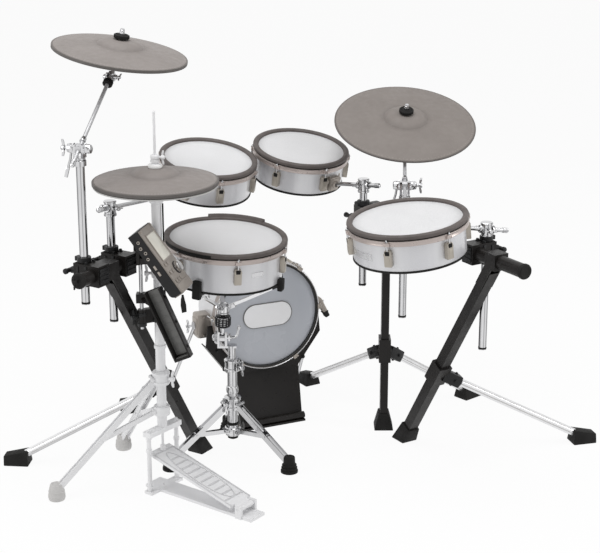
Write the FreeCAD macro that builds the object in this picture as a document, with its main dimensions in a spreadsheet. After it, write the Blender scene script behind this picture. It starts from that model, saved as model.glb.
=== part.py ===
# Electronic drum kit: rack, drums, cymbals, stands and sound module as a parametric document.
# Millimetres. +X to the player's right, +Y away from the player, +Z up, floor at Z = 0.
import FreeCAD
import Part
import Sketcher
import math
import os
from FreeCAD import Placement, Rotation, Vector

DIMENSIONS = {
    # rack bars, legs and outriggers
    "bar_radius": 19, "bar_wall": 2, "bar_height": 642, "bar_yaw": 32, "right_bar_x": 554.2,
    "right_bar_y": -395, "right_bar_length": 704, "left_bar_x": -562, "left_bar_y": -474,
    "left_bar_length": 305, "cap_length": 9, "cap_rim": 2.5, "cap_round": 4, "leg_width": 30,
    "leg_wall": 2.5, "leg_top_along": 110, "leg_foot_along": 500, "rear_leg_along": 605,
    "rear_leg_width": 22, "rear_leg_depth": 40, "saddle_length": 42, "saddle_width": 44,
    "saddle_height": 44, "cheek_thickness": 4, "cheek_drop": 70, "bracket_height": 257,
    "rear_bracket_height": 246, "bracket_length": 70, "bracket_wall": 6, "socket_radius": 16,
    "socket_length": 70, "outrigger_radius": 11, "right_boot_x": 812.32, "right_boot_y": 15,
    "left_boot_x": -813, "left_boot_y": -141, "far_boot_x": -537, "far_boot_y": 259,
    "rear_right_boot_x": 515, "rear_right_boot_y": 369, "rear_left_boot_x": 6, "rear_left_boot_y": 489,
    "boot_base_radius": 31, "boot_top_radius": 14, "boot_length": 62, "boot_toe": 12, "boot_wall": 4,
    "leg_boot_length": 62, "rear_boot_height": 38,
    # posts and their clamps on the bars
    "post_radius": 11, "post_wall": 1.6, "post_offset": 36, "clamp_length": 44, "clamp_height": 54,
    "clamp_wall": 7, "knob_radius": 6, "knob_bar": 46, "knob_reach": 20, "knob_stem": 5,
    "crash_post_along": 64, "crash_post_rise": 320, "crash_post_drop": 79, "tom1_post_along": 175,
    "tom1_post_drop": 158, "tom2_post_along": 671, "tom2_post_drop": 207, "floor_post_along": 199,
    "floor_post_drop": 272, "ride_post_along": 471, "ride_post_rise": 128, "ride_post_drop": 247,
    "plug_height": 6, "rod_radius": 6, "rod_tail": 60, "rod_clamp_radius": 15, "rod_clamp_height": 38,
    "fork_drop": 28, "fork_rim": 3, "fork_base": 6, "fork_cheek": 6, "fork_width": 22, "fork_height": 34,
    "fork_sink": 1, "fork_knob_radius": 7, "fork_knob_length": 12, "fork_wing": 24,
    "fork_wing_thickness": 5, "fork_wing_height": 14, "knuckle_radius": 12, "pin_inset": 0.5,
    # drums
    "hoop_margin": 11, "shell_wall": 6, "pan_thickness": 4, "rim_height": 8, "rim_lip": 5, "rim_skirt": 8,
    "hoop_height": 12, "hoop_gap": 10, "head_thickness": 2, "lug_width": 20, "lug_depth": 14,
    "lug_length": 44, "lug_toe": 9, "lug_slope": 13, "tension_radius": 2.6, "tower_base": 26,
    "tower_top": 12, "hoop_inset": 1.5, "hoop_round": 3, "rim_round": 4, "lip_round": 3, "strip_inner": 13,
    "strip_outer": 1, "strip_height": 7, "strip_slant": 2, "snare_radius": 168, "snare_depth": 105,
    "snare_x": -213, "snare_y": -113, "snare_top": 657, "tom_radius": 142, "tom_depth": 90, "tom1_x": -275,
    "tom1_y": 206, "tom1_rise": 158, "tom1_clamp_rise": 143, "tom2_x": -9, "tom2_y": 328, "tom2_rise": 160,
    "tom2_clamp_rise": 86, "floor_tom_radius": 159, "floor_tom_depth": 93, "floor_tom_x": 264,
    "floor_tom_y": -284, "floor_tom_rise": 115, "floor_clamp_rise": 58, "mount_width": 34,
    "mount_height": 40, "mount_depth": 16, "mount_drop": 14, "rod_depth": 12,
    # snare stand
    "stand_radius": 14, "stand_top": 285, "stand_bottom": 62, "column_radius": 11, "column_bottom": 150,
    "tilter_offset": 26, "foot_circle": 190, "foot_radius": 16, "foot_height": 46, "leg_bar": 3.5,
    "leg_bar_width": 15, "leg_spread": 8, "hub_radius": 22, "leg_collar_z": 165, "fork_gap": 15,
    "basket_arm": 8, "basket_drop": 177, "hub_drop": 91, "basket_hub_radius": 15, "basket_hub_height": 26,
    "adjuster_radius": 20, "adjuster_height": 29, "adjuster_rise": 35, "tip_height": 25, "tip_width": 22,
    "tip_depth": 12, "tip_floor": 8, "tip_reach": 14, "stem_radius": 6, "arm_inset": 2, "arm_rise": 3,
    "foot_ridge": 2, "collar_height": 36, "low_collar_height": 26, "collar_step": 2, "low_collar_z": 82,
    "leg_root": 12, "rivet_radius": 3.5, "lock_wall": 6, "lock_height": 34, "lock_drop": 24,
    "bore_floor": 30,
    # kick drum and its stand
    "kick_radius": 165, "kick_hoop_width": 8, "kick_depth": 150, "kick_yaw": 25, "kick_x": -105,
    "kick_y": 165, "kick_height": 332, "patch_width": 154, "patch_height": 73, "plate_thickness": 5,
    "plate_top_half": 184, "plate_bottom_half": 98, "plate_bend_height": 150, "panel_lean": 22,
    "flange_depth": 36, "pedal_bar_radius": 10, "base_plate_depth": 110, "base_thickness": 6,
    "base_overhang": 26, "plate_gap": 4, "plate_flare": 14, "plate_shoulder": 85, "plate_top_drop": 20,
    "plate_top_inset": 6, "flange_thickness": 3, "flange_inset": 2, "kick_tower_base": 60,
    "kick_tower_top": 40, "kick_hoop_depth": 24, "kick_hoop_round": 5, "kick_lip_round": 2,
    "patch_thickness": 2.4, "spur_radius": 5, "spur_drop": 30, "spur_depth": 90, "spur_hub_radius": 11,
    "spur_hub_length": 12, "spur_tip_radius": 9, "spur_bracket_reach": 33, "spur_bracket_sink": 9,
    "spur_bracket_height": 70, "spur_bracket_width": 44, "left_spur_out": 255, "left_spur_back": 225,
    "right_spur_out": 192, "right_spur_back": 228,
    # cymbals
    "cymbal_thickness": 5, "cymbal_hole": 8, "bell_height": 16, "bell_radius": 62, "bow_rise": 15,
    "bell_flat": 16, "bell_round": 62, "bow_round": 900, "edge_share": 0.7, "skin_step": 1,
    "crash_radius": 178, "crash_x": -483, "crash_y": -118, "crash_rise": 510, "ride_radius": 203,
    "ride_x": 289, "ride_y": 249, "ride_rise": 243, "boom_radius": 5, "boom_tail": 62, "spindle_radius": 4,
    "spindle_drop": 42, "spindle_rise": 34, "sleeve_radius": 7.2, "rock_pin_radius": 2, "cap_radius": 15,
    "cap_height": 13, "cap_lift": 1.7, "cap_flare": 2.2, "crown_round": 5, "boom_ball": 9,
    "seat_height": 14, "seat_base": 13, "seat_radius": 16, "seat_shoulder": 9, "seat_cup": 3.4,
    "sleeve_rise": 1.5,
    # hi-hat
    "hihat_radius": 160, "hihat_x": -382, "hihat_y": -300, "hihat_z": 853, "hihat_gap": 7,
    "hihat_rod_radius": 3.5, "hihat_rod_rise": 182, "hihat_tube_radius": 13, "hihat_tube_bottom": 165,
    "hihat_foot_circle": 290, "hihat_collar_z": 318, "pedal_length": 285, "pedal_width": 82,
    "pedal_heel_z": 26, "pedal_toe_z": 104, "pedal_thickness": 7, "pedal_yaw": -37, "pedal_toe_reach": 14,
    "hihat_collar_wall": 9, "hihat_low_collar_z": 225, "yoke_height": 14, "hihat_seat_height": 14,
    "hihat_seat_rim": 6, "hihat_seat_radius": 22, "hihat_seat_wall": 2, "hihat_stub_radius": 7.5,
    "hihat_stub_height": 8, "spring_wall": 4, "spring_low": 10, "spring_high": 26, "link_radius": 7,
    "link_height": 14, "link_sink": 1.5, "clutch_nut_radius": 11, "clutch_nut_height": 9, "clutch_neck": 7,
    "felt_radius": 13, "felt_height": 9, "clutch_radius": 9, "clutch_shoulder": 13, "clutch_height": 34,
    "frame_gap": 14, "frame_bar": 26, "frame_foot": 8, "frame_margin": 16, "frame_extra": 80,
    "frame_post_radius": 6, "frame_post_sink": 2, "heel_half": 25, "heel_ear": 8, "heel_ear_length": 20,
    "heel_ear_rise": 9, "heel_radius": 8, "heel_pin_reach": 7, "heel_trim_length": 36,
    # sound module, its bracket and tray
    "module_length": 190, "module_width": 92, "module_depth": 30, "panel_thickness": 4, "module_x": -356,
    "module_y": -391, "module_z": 677, "module_slope": 54, "module_yaw": -13, "module_rod_x": -425,
    "module_rod_y": -322, "module_rod_bottom": 462, "module_rod_radius": 5, "case_round": 12,
    "panel_inset": 4, "hinge_along": 20, "hinge_drop": 9, "hinge_half": 19, "hinge_radius": 8,
    "hinge_pin_reach": 6, "neck_length": 16, "neck_height": 14, "neck_sink": 2, "ear_thickness": 5,
    "ear_radius": 7.5, "ear_length": 18, "block_half": 13, "block_height": 22, "block_rise": 6,
    "back_plate": 17, "back_thickness": 8, "back_height": 38, "back_drop": 10, "back_sink": 2,
    "back_margin": 26, "module_rod_rise": 34, "grip_wall": 8, "rod_grip_wall": 6, "grip_width": 16,
    "tray_wall": 4, "tray_floor": 3, "tray_lip": 6, "tray_clamp_z": 536, "tray_clamp_size": 26,
    "tray_clamp_height": 24, "tray_arm_radius": 8, "tray_arm_along": 30, "tray_arm_sink": 1,
    "lead_out": 17, "lead_front": 6, "lead_drop": 13.4, "grip_z": 478, "grip_height": 38, "dial_along": 38,
    "dial_across": 18, "dial_radius": 14, "dial_height": 11, "tray_length": 196, "tray_width": 46,
    "tray_depth": 22, "tray_x": -346, "tray_y": -402, "tray_z": 506, "tray_slope": 66, "lead_radius": 2.2,
    # clearances
    "slip": 0.1, "running": 0.3,
}

doc = FreeCAD.newDocument("DrumKit")
sheet = doc.addObject("Spreadsheet::Sheet", "Dimensions")
for row, (name, value) in enumerate(DIMENSIONS.items(), start=1):
    sheet.set("A%d" % row, name)
    sheet.set("B%d" % row, str(value))
    sheet.setAlias("B%d" % row, name)
doc.recompute()


class Size:
    """A length with its number and the spreadsheet expression that it comes from."""

    def __init__(self, value, text):
        self.value = value
        self.text = text

    def join(self, sign, other):
        second = other if isinstance(other, Size) else Size(other, repr(other))
        number = {"+": self.value + second.value, "-": self.value - second.value,
                  "*": self.value * second.value, "/": self.value / second.value if second.value else 0}[sign]
        return Size(number, "(%s %s %s)" % (self.text, sign, second.text))

    def __add__(self, other):
        return self.join("+", other)

    def __sub__(self, other):
        return self.join("-", other)

    def __mul__(self, other):
        return self.join("*", other)

    def __truediv__(self, other):
        return self.join("/", other)

    def __neg__(self):
        return self.join("*", -1)


class Sizes:
    """Looks a driving dimension up by its name."""

    def __getattr__(self, name):
        return Size(DIMENSIONS[name], "Dimensions." + name)


d = Sizes()
nodes = []
anchors = []


def number(size):
    return size.value if isinstance(size, Size) else size


def bind(obj, prop, size):
    if isinstance(size, Size):
        obj.setExpression(prop, size.text)
    else:
        setattr(obj, prop, size)


def vec(x, y, z):
    return Vector(number(x), number(y), number(z))


def along(start, end):
    """Placement at start whose Z axis points to end."""
    return Placement(start, Rotation(Vector(0, 0, 1), end - start))


def facing(origin, up, right):
    """Placement at origin with Z along up and X as near right as it goes."""
    return Placement(origin, Rotation(right, Vector(0, 0, 0), up, "ZXY"))


def standing(point):
    """Placement at a point, not turned."""
    return Placement(point, Rotation())


def cylinder(radius, height, place=Placement()):
    obj = doc.addObject("Part::Cylinder", "Cylinder")
    bind(obj, "Radius", radius)
    bind(obj, "Height", height)
    obj.Placement = place
    return obj


def rod(radius, start, end):
    return cylinder(radius, (end - start).Length, along(start, end))


def cone(bottom, top, height, place=Placement()):
    obj = doc.addObject("Part::Cone", "Cone")
    bind(obj, "Radius1", bottom)
    bind(obj, "Radius2", top)
    bind(obj, "Height", height)
    obj.Placement = place
    return obj


def ball(radius, centre):
    obj = doc.addObject("Part::Sphere", "Ball")
    bind(obj, "Radius", radius)
    obj.Placement = standing(centre)
    return obj


def block(length, width, height, place=Placement()):
    """Box centred on X and Y that stands on its placement."""
    obj = doc.addObject("Part::Box", "Block")
    bind(obj, "Length", length)
    bind(obj, "Width", width)
    bind(obj, "Height", height)
    corner = Vector(-number(length) / 2, -number(width) / 2, 0)
    obj.Placement = place.multiply(standing(corner))
    return obj


def fuse(shapes):
    obj = doc.addObject("Part::MultiFuse", "Fusion")
    obj.Shapes = shapes
    return obj


def cut(base, tools):
    obj = doc.addObject("Part::Cut", "Cut")
    obj.Base = base
    obj.Tool = fuse(tools) if len(tools) > 1 else tools[0]
    return obj


def pipe(radius, wall, start, end):
    return cut(rod(radius, start, end), [rod(radius - wall, start, end)])


def arc_geometry(start, end, radius, turn):
    """Arc from start to end; turn 1 bends to the left, -1 to the right."""
    chord = end - start
    left = Vector(-chord.y, chord.x, 0).normalize()
    rise = math.sqrt(max(radius * radius - chord.Length * chord.Length / 4, 0))
    centre = (start + end) * 0.5 + left * (rise * turn)
    first, last = (start, end) if turn > 0 else (end, start)
    angle_first = math.atan2(first.y - centre.y, first.x - centre.x)
    angle_last = math.atan2(last.y - centre.y, last.x - centre.x)
    circle = Part.Circle(centre, Vector(0, 0, 1), radius)
    return Part.ArcOfCircle(circle, angle_first, angle_last)


def outline(body, points):
    """Closed sketch on the body's XZ plane; a point may carry an arc radius and its turn."""
    sketch = body.newObject("Sketcher::SketchObject", "Outline")
    plane = [item for item in body.Origin.OriginFeatures if item.Role == "XZ_Plane"][0]
    sketch.AttachmentSupport = [(plane, "")]
    sketch.MapMode = "FlatFace"
    ends = []
    corners = [Vector(number(point[0]), number(point[1]), 0) for point in points]
    for index, point in enumerate(points):
        start, end = corners[index - 1], corners[index]
        if len(point) == 4:
            sketch.addGeometry(arc_geometry(start, end, number(point[2]), point[3]), False)
            ends.append((1, 2) if point[3] > 0 else (2, 1))
        else:
            sketch.addGeometry(Part.LineSegment(start, end), False)
            ends.append((1, 2))
    for index in range(len(points)):
        after = (index + 1) % len(points)
        sketch.addConstraint(
            Sketcher.Constraint("Coincident", index, ends[index][1], after, ends[after][0]))
    for index, point in enumerate(points):
        for kind, axis, size in (("DistanceX", -2, point[0]), ("DistanceY", -1, point[1])):
            if number(size) == 0:
                sketch.addConstraint(Sketcher.Constraint("PointOnObject", index, ends[index][1], axis))
                continue
            place = sketch.addConstraint(
                Sketcher.Constraint(kind, -1, 1, index, ends[index][1], number(size)))
            if isinstance(size, Size):
                bind(sketch, "Constraints[%d]" % place, size)
        if len(point) == 4:
            place = sketch.addConstraint(Sketcher.Constraint("Radius", index, number(point[2])))
            if isinstance(point[2], Size):
                bind(sketch, "Constraints[%d]" % place, point[2])
    return sketch


def turned(points, place=Placement(), angle=360):
    """Body turned about Z from an outline of (radius, height) points."""
    body = doc.addObject("PartDesign::Body", "Turned")
    sketch = outline(body, points)
    feature = body.newObject("PartDesign::Revolution", "Revolution")
    feature.Profile = sketch
    feature.ReferenceAxis = (sketch, ["V_Axis"])
    feature.Angle = angle
    body.Placement = place
    return body


def slab(points, width, place=Placement()):
    """Body padded both ways along Y from an outline of (x, z) points."""
    body = doc.addObject("PartDesign::Body", "Slab")
    sketch = outline(body, points)
    feature = body.newObject("PartDesign::Pad", "Pad")
    feature.Profile = sketch
    bind(feature, "Length", width)
    feature.Midplane = True
    body.Placement = place
    return body


def node(label, pieces, place=Placement()):
    obj = doc.addObject("Part::Compound", "Node")
    obj.Label = label
    obj.Links = pieces
    obj.Placement = place
    nodes.append(obj)
    return obj


def anchor(name, point, axis):
    axis = Vector(axis).normalize()
    anchors.append((name, point, axis))


UP = Vector(0, 0, 1)
yaw = math.radians(number(d.bar_yaw))


class Bar:
    """One rack bar: where it starts, which way it runs and which side faces out of the kit."""

    def __init__(self, side, x, y, length):
        self.start = vec(x, y, d.bar_height)
        self.run = Vector(-side * math.sin(yaw), math.cos(yaw), 0)
        self.out = Vector(side * math.cos(yaw), math.sin(yaw), 0)
        self.end = self.start + self.run * number(length)

    def at(self, distance, offset=0):
        return self.start + self.run * number(distance) + self.out * number(offset)

    def solid(self, clearance):
        return rod(d.bar_radius + clearance, self.start, self.end)


right_bar = Bar(1, d.right_bar_x, d.right_bar_y, d.right_bar_length)
left_bar = Bar(-1, d.left_bar_x, d.left_bar_y, d.left_bar_length)


# Rack bars and their end caps
def end_cap(point, outward):
    edge = d.bar_radius + d.cap_rim
    return turned([(0, 0), (edge, 0), (edge, d.cap_length - d.cap_round),
                   (edge - d.cap_round, d.cap_length, d.cap_round, 1), (0, d.cap_length)],
                  along(point, point + outward))


bars = (right_bar, left_bar)
node("rack_bars", [pipe(d.bar_radius, d.bar_wall, bar.start, bar.end) for bar in bars])
caps = []
for bar in bars:
    caps.append(end_cap(bar.start, bar.run * -1))
    caps.append(end_cap(bar.end, bar.run))

# Rubber boots on the floor
boots = {}
FLOOR_DEPTH = 100
FLOOR_SPAN = 400


def above_floor(shape, point):
    """The shape with what lies under the floor taken off."""
    ground = standing(Vector(point.x, point.y, -FLOOR_DEPTH))
    return cut(shape, [block(FLOOR_SPAN, FLOOR_SPAN, FLOOR_DEPTH, ground)])


# Diagonal legs: each lies in the upright plane of its bar
class DiagonalLeg:
    def __init__(self, bar, key):
        self.bar = bar
        self.top = bar.at(d.leg_top_along)
        foot = bar.at(d.leg_foot_along)
        self.foot = Vector(foot.x, foot.y, 0)
        self.axis = (self.foot - self.top).normalize()
        drop = abs(self.axis.z)
        self.first = (number(d.saddle_height) / 2 + number(d.slip)
                      + number(d.leg_width) / 2 * math.hypot(self.axis.x, self.axis.y)) / drop
        self.length = (self.foot - self.top).Length - self.first
        boot_first = self.first + self.length - number(d.leg_boot_length)
        grown = self.prism(d.leg_width + d.boot_wall * 2, boot_first, d.leg_boot_length + d.leg_width)
        self.boot = above_floor(grown, self.foot)
        boots[key] = self.boot

    def at_height(self, z):
        return self.foot + self.axis * (z / self.axis.z)

    def place(self, distance):
        return facing(self.top + self.axis * distance, self.axis, self.bar.out)

    def prism(self, width, first, length):
        return block(width, width, length, self.place(first))

    def solid(self):
        bore = self.prism(d.leg_width - d.leg_wall * 2, self.first, self.length)
        outer = self.prism(d.leg_width, self.first, self.length)
        return above_floor(cut(outer, [bore, self.boot]), self.foot)

    def saddle(self):
        """Block round the bar with two cheeks that hold the head of the leg."""
        seat = standing(self.top - UP * (number(d.saddle_height) / 2))
        turn = Rotation(Vector(1, 0, 0), self.bar.run)
        seat.Rotation = turn
        pieces = [block(d.saddle_length, d.saddle_width, d.saddle_height, seat)]
        reach = number(d.leg_width) / 2 + number(d.slip) + number(d.cheek_thickness) / 2
        for side in (-1, 1):
            cheek = self.place(0).multiply(standing(Vector(side * reach, 0, 0)))
            drop = d.cheek_drop + d.saddle_height / 2
            pieces.append(block(d.cheek_thickness, d.leg_width * 0.9, drop, cheek))
        return cut(fuse(pieces), [self.bar.solid(d.slip)])


legs = {"right": DiagonalLeg(right_bar, "right_leg"), "left": DiagonalLeg(left_bar, "left_leg")}
rear = right_bar.at(d.rear_leg_along)
rear_foot = Vector(rear.x, rear.y, 0)
rear_boot = block(d.rear_leg_width + d.boot_wall * 2, d.rear_leg_depth + d.boot_wall * 2, d.rear_boot_height,
                  standing(rear_foot))
boots["rear_leg"] = rear_boot
rear_leg_top = d.bar_height - d.saddle_height / 2
rear_leg_outer = block(d.rear_leg_width, d.rear_leg_depth, rear_leg_top, standing(rear_foot))
rear_leg_bore = block(d.rear_leg_width - d.leg_wall * 2, d.rear_leg_depth - d.leg_wall * 2, rear_leg_top,
                      standing(rear_foot))
rear_leg = cut(rear_leg_outer, [rear_leg_bore, rear_boot])
node("rack_legs", [legs["right"].solid(), legs["left"].solid(), rear_leg])

# Outrigger brackets, their sockets and the outrigger pipes
saddle_rear_place = Placement(rear - UP * (number(d.saddle_height) / 2),
                              Rotation(Vector(1, 0, 0), right_bar.run))
rear_saddle = cut(block(d.saddle_length, d.saddle_width, d.saddle_height, saddle_rear_place),
                  [right_bar.solid(d.slip)])
outriggers = []


def outrigger(start, x, y):
    """Socket solid of one outrigger; its pipe ends in a rubber boot that flares to the floor."""
    target = vec(x, y, d.outrigger_radius)
    way = (target - start).normalize()
    mouth = start + way * number(d.socket_length)
    boot_start = target - way * number(d.boot_length)
    flare = cone(d.boot_top_radius, d.boot_base_radius, d.boot_length + d.boot_toe, along(boot_start, target))
    foot = above_floor(flare, target)
    boots["outrigger_%d" % len(outriggers)] = foot
    outriggers.append(cut(rod(d.outrigger_radius, mouth, target), [foot]))
    return rod(d.socket_radius, start, mouth)


def leg_bracket(leg, targets):
    centre = leg.at_height(number(d.bracket_height))
    distance = (centre - leg.top).Length - number(d.bracket_length) / 2
    sleeve = leg.prism(d.leg_width + d.bracket_wall * 2, distance, d.bracket_length)
    sockets = [outrigger(centre, *target) for target in targets]
    bore = leg.prism(d.leg_width + d.slip * 2, leg.first, leg.length)
    return cut(fuse([sleeve] + sockets), [bore])


rear_centre = Vector(rear.x, rear.y, number(d.rear_bracket_height))
rear_sleeve = block(d.rear_leg_width + d.bracket_wall * 2, d.rear_leg_depth + d.bracket_wall * 2,
                    d.bracket_length, standing(rear_centre - UP * (number(d.bracket_length) / 2)))
rear_sockets = [outrigger(rear_centre, d.rear_right_boot_x, d.rear_right_boot_y),
                outrigger(rear_centre, d.rear_left_boot_x, d.rear_left_boot_y)]
rear_bore = block(d.rear_leg_width + d.slip * 2, d.rear_leg_depth + d.slip * 2, rear_leg_top,
                  standing(rear_foot))
rear_bracket = cut(fuse([rear_sleeve] + rear_sockets), [rear_bore])
node("rack_brackets", [legs["right"].saddle(), legs["left"].saddle(), rear_saddle,
                       leg_bracket(legs["right"], [(d.right_boot_x, d.right_boot_y)]),
                       leg_bracket(legs["left"], [(d.left_boot_x, d.left_boot_y),
                                                  (d.far_boot_x, d.far_boot_y)]),
                       rear_bracket])
node("rack_outriggers", outriggers)

# Posts in their clamps
clamps = []


def post_clamp(bar, distance, side):
    """Block that grips the bar and one post, with a T-knob outside; side 1 is out of the kit."""
    inner = -(d.bar_radius + d.clamp_wall)
    outer = d.post_offset + d.post_radius + d.clamp_wall
    middle = (number(inner) + number(outer)) / 2 * side
    centre = bar.at(distance, middle) - UP * (number(d.clamp_height) / 2)
    place = Placement(centre, Rotation(Vector(1, 0, 0), bar.run))
    body = block(d.clamp_length, outer - inner, d.clamp_height, place)
    post = bar.at(distance, number(d.post_offset) * side)
    through = UP * number(d.clamp_height)
    drill = rod(d.post_radius + d.slip, post - through, post + through)
    clamps.append(cut(body, [bar.solid(d.slip), drill]))
    face = bar.at(distance, number(outer) * side)
    tip = face + bar.out * (side * number(d.knob_reach))
    half = bar.run * (number(d.knob_bar) / 2)
    grip = bar.out * (side * number(d.knob_radius))
    cross_bar = rod(d.knob_radius, tip + grip - half, tip + grip + half)
    clamps.append(fuse([rod(d.knob_stem, face, tip), cross_bar]))
    return Vector(post.x, post.y, 0)


crash_foot = post_clamp(left_bar, d.crash_post_along, 1)
tom1_foot = post_clamp(left_bar, d.tom1_post_along, 1)
floor_foot = post_clamp(right_bar, d.floor_post_along, 1)
ride_foot = post_clamp(right_bar, d.ride_post_along, -1)
tom2_foot = post_clamp(right_bar, d.tom2_post_along, -1)
node("rack_clamps", clamps)


def over_bar(x, y, rise):
    """Point at that rise over the rack bars."""
    return vec(x, y, d.bar_height + rise)


def post_tube(foot, drop, top):
    """Tube from that drop under the bar up to top, with a plug under its lower end."""
    low = foot + UP * number(d.bar_height - drop)
    plug = cylinder(d.post_radius, d.plug_height, standing(low - UP * number(d.plug_height)))
    return [pipe(d.post_radius, d.post_wall, low, foot + UP * number(top)), plug]


# Drums
def drum_hardware(shell_radius, hoop_bottom, angles, hoop_points):
    pieces = [turned(hoop_points)]
    lug_top = hoop_bottom - d.hoop_gap
    lug_bottom = lug_top - d.lug_length
    inner = shell_radius + d.slip * 2
    profile = [(inner, lug_bottom), (shell_radius + d.lug_depth * 0.7, lug_bottom),
               (shell_radius + d.lug_depth, lug_bottom + d.lug_toe),
               (shell_radius + d.lug_depth, lug_top - d.lug_slope),
               (shell_radius + d.lug_depth * 0.6, lug_top), (inner, lug_top)]
    for angle in angles:
        turn = Placement(Vector(), Rotation(UP, angle))
        pieces.append(slab(profile, d.lug_width, turn))
        spot = turn.multVec(vec(shell_radius + d.lug_depth * 0.36, 0, lug_top))
        pieces.append(cylinder(d.tension_radius, d.hoop_gap, standing(spot)))
    return pieces


def drum(name, radius, depth, place, lug_start):
    """Shell, hardware, rim and head of one drum; Z = 0 is the top of its rim."""
    shell_radius = radius - d.hoop_margin
    head_top = -d.rim_height
    shell_top = head_top - d.head_thickness
    bottom = shell_top - depth
    skirt = head_top - d.rim_skirt
    hoop_bottom = skirt - d.hoop_height
    inside = shell_radius - d.shell_wall
    floor = bottom + d.pan_thickness
    shell = turned([(inside, shell_top), (shell_radius, shell_top), (shell_radius, bottom), (0, bottom),
                    (0, floor), (inside, floor)])
    tower = cone(d.tower_base, d.tower_top, depth - d.pan_thickness - d.running,
                 standing(vec(0, 0, floor)))
    node(name + "_shell", [shell, tower], place)
    inner = shell_radius + d.running
    outer = radius - d.hoop_inset
    hoop = [(inner, hoop_bottom), (outer - d.hoop_round, hoop_bottom),
            (outer, hoop_bottom + d.hoop_round, d.hoop_round, 1), (outer, skirt), (inner, skirt)]
    angles = [lug_start + 60 * index for index in range(6)]
    node(name + "_hardware", drum_hardware(shell_radius, hoop_bottom, angles, hoop), place)
    lip = shell_radius - d.rim_lip
    rim = turned([(lip, head_top), (inner, head_top), (inner, skirt), (radius, skirt), (radius, -d.rim_round),
                  (radius - d.rim_round, 0, d.rim_round, 1), (lip + d.lip_round, 0),
                  (lip, -d.lip_round, d.lip_round, 1)])
    rims = [rim]
    if name == "snare":
        strip_low = d.slip * 2
        strip = [(radius - d.strip_inner, strip_low), (radius - d.strip_outer, strip_low),
                 (radius - d.strip_outer - d.strip_slant / 2, d.strip_height),
                 (radius - d.strip_inner + d.strip_slant, d.strip_height)]
        rims.append(turned(strip, Placement(Vector(), Rotation(UP, 52)), 58))
    node(name + "_rim", rims, place)
    node(name + "_head", [cylinder(shell_radius, d.head_thickness, standing(vec(0, 0, shell_top)))],
         place)
    return shell_radius, bottom


def hung_drum(name, radius, depth, centre, tilt, post_foot, post_drop, clamp_rise, lug_start):
    """Drum on an L-rod that turns in the clamp on top of its post."""
    clamp = post_foot + UP * number(d.bar_height + clamp_rise)
    toward = clamp - centre
    place = facing(centre, tilt, Vector(toward.x, toward.y, 0))
    shell_radius, bottom = drum(name, radius, depth, place, lug_start)
    level = number(bottom) / 2 - number(d.mount_drop)
    reach = number(shell_radius) + number(d.slip) * 2
    mount_low = level - number(d.mount_height) / 2
    seat = place.multiply(standing(Vector(reach + number(d.mount_depth) / 2, 0, mount_low)))
    mount = block(d.mount_depth, d.mount_width, d.mount_height, seat)
    grip = place.multVec(Vector(reach + number(d.rod_depth), 0, level))
    way = (grip - clamp).normalize()
    bar = rod(d.rod_radius, clamp - way * number(d.rod_tail), grip)
    node(name + "_arm", [mount, cut(bar, [mount])])
    half = number(d.rod_clamp_height) / 2
    holder = cylinder(d.rod_clamp_radius, d.rod_clamp_height, standing(clamp - UP * half))
    through = way * (number(d.rod_clamp_radius) * 3)
    bore = rod(d.rod_radius + d.slip, clamp - through, clamp + through)
    node(name + "_post", post_tube(post_foot, post_drop, clamp.z - half) + [cut(holder, [bore])])
    anchor(name + "_post", clamp, UP)
    anchor(name, clamp, way)


hung_drum("tom1", d.tom_radius, d.tom_depth, over_bar(d.tom1_x, d.tom1_y, d.tom1_rise),
          Vector(0.13, -0.17, 1), tom1_foot, d.tom1_post_drop, d.tom1_clamp_rise, 44)
hung_drum("tom2", d.tom_radius, d.tom_depth, over_bar(d.tom2_x, d.tom2_y, d.tom2_rise),
          Vector(0.12, -0.17, 1), tom2_foot, d.tom2_post_drop, d.tom2_clamp_rise, 46)
hung_drum("floor_tom", d.floor_tom_radius, d.floor_tom_depth,
          over_bar(d.floor_tom_x, d.floor_tom_y, d.floor_tom_rise), Vector(-0.10, -0.05, 1),
          floor_foot, d.floor_post_drop, d.floor_clamp_rise, 47)


# Forks: two cheeks with a pinned knuckle between them
def fork(pivot, axis, base_radius, offset=0):
    """Base and cheeks under a pivot; the pin's axis is level and the base may reach sideways along it."""
    axis = Vector(axis).normalize()
    base = pivot - UP * number(d.fork_drop)
    half = number(d.fork_gap) / 2
    cheek = number(d.fork_cheek)
    turn = Rotation(Vector(1, 0, 0), axis)
    pieces = [cylinder(base_radius, d.fork_base, standing(base + axis * offset))]
    if offset:
        middle = Placement(base + axis * (offset / 2), turn)
        pieces.append(block(d.fork_gap + d.fork_cheek * 2 + abs(offset), d.fork_width, d.fork_base, middle))
    for side in (-1, 1):
        spot = base + UP * number(d.fork_base - d.fork_sink) + axis * (side * (half + cheek / 2))
        pieces.append(block(d.fork_cheek, d.fork_width, d.fork_height, Placement(spot, turn)))
    through = axis * (number(d.fork_gap) * 4)
    body = cut(fuse(pieces), [rod(d.spindle_radius + d.slip, pivot - through, pivot + through)])
    face = pivot + axis * (half + cheek)
    knob_end = axis * number(d.fork_knob_length)
    wing_place = Placement(face + knob_end * 0.5 - UP * (number(d.fork_wing_height) / 2),
                           Rotation(Vector(0, 1, 0), axis))
    wing = block(d.fork_wing, d.fork_wing_thickness, d.fork_wing_height, wing_place)
    return [body, fuse([rod(d.fork_knob_radius, face, face + knob_end), wing])]


def knuckle(pivot, axis):
    """Round of the moving half with its pin through the fork."""
    axis = Vector(axis).normalize()
    half = number(d.fork_gap) / 2 - number(d.running)
    pin = number(d.fork_gap / 2 + d.fork_cheek - d.pin_inset)
    return [rod(d.knuckle_radius, pivot - axis * half, pivot + axis * half),
            rod(d.spindle_radius, pivot - axis * pin, pivot + axis * pin)]


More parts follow.
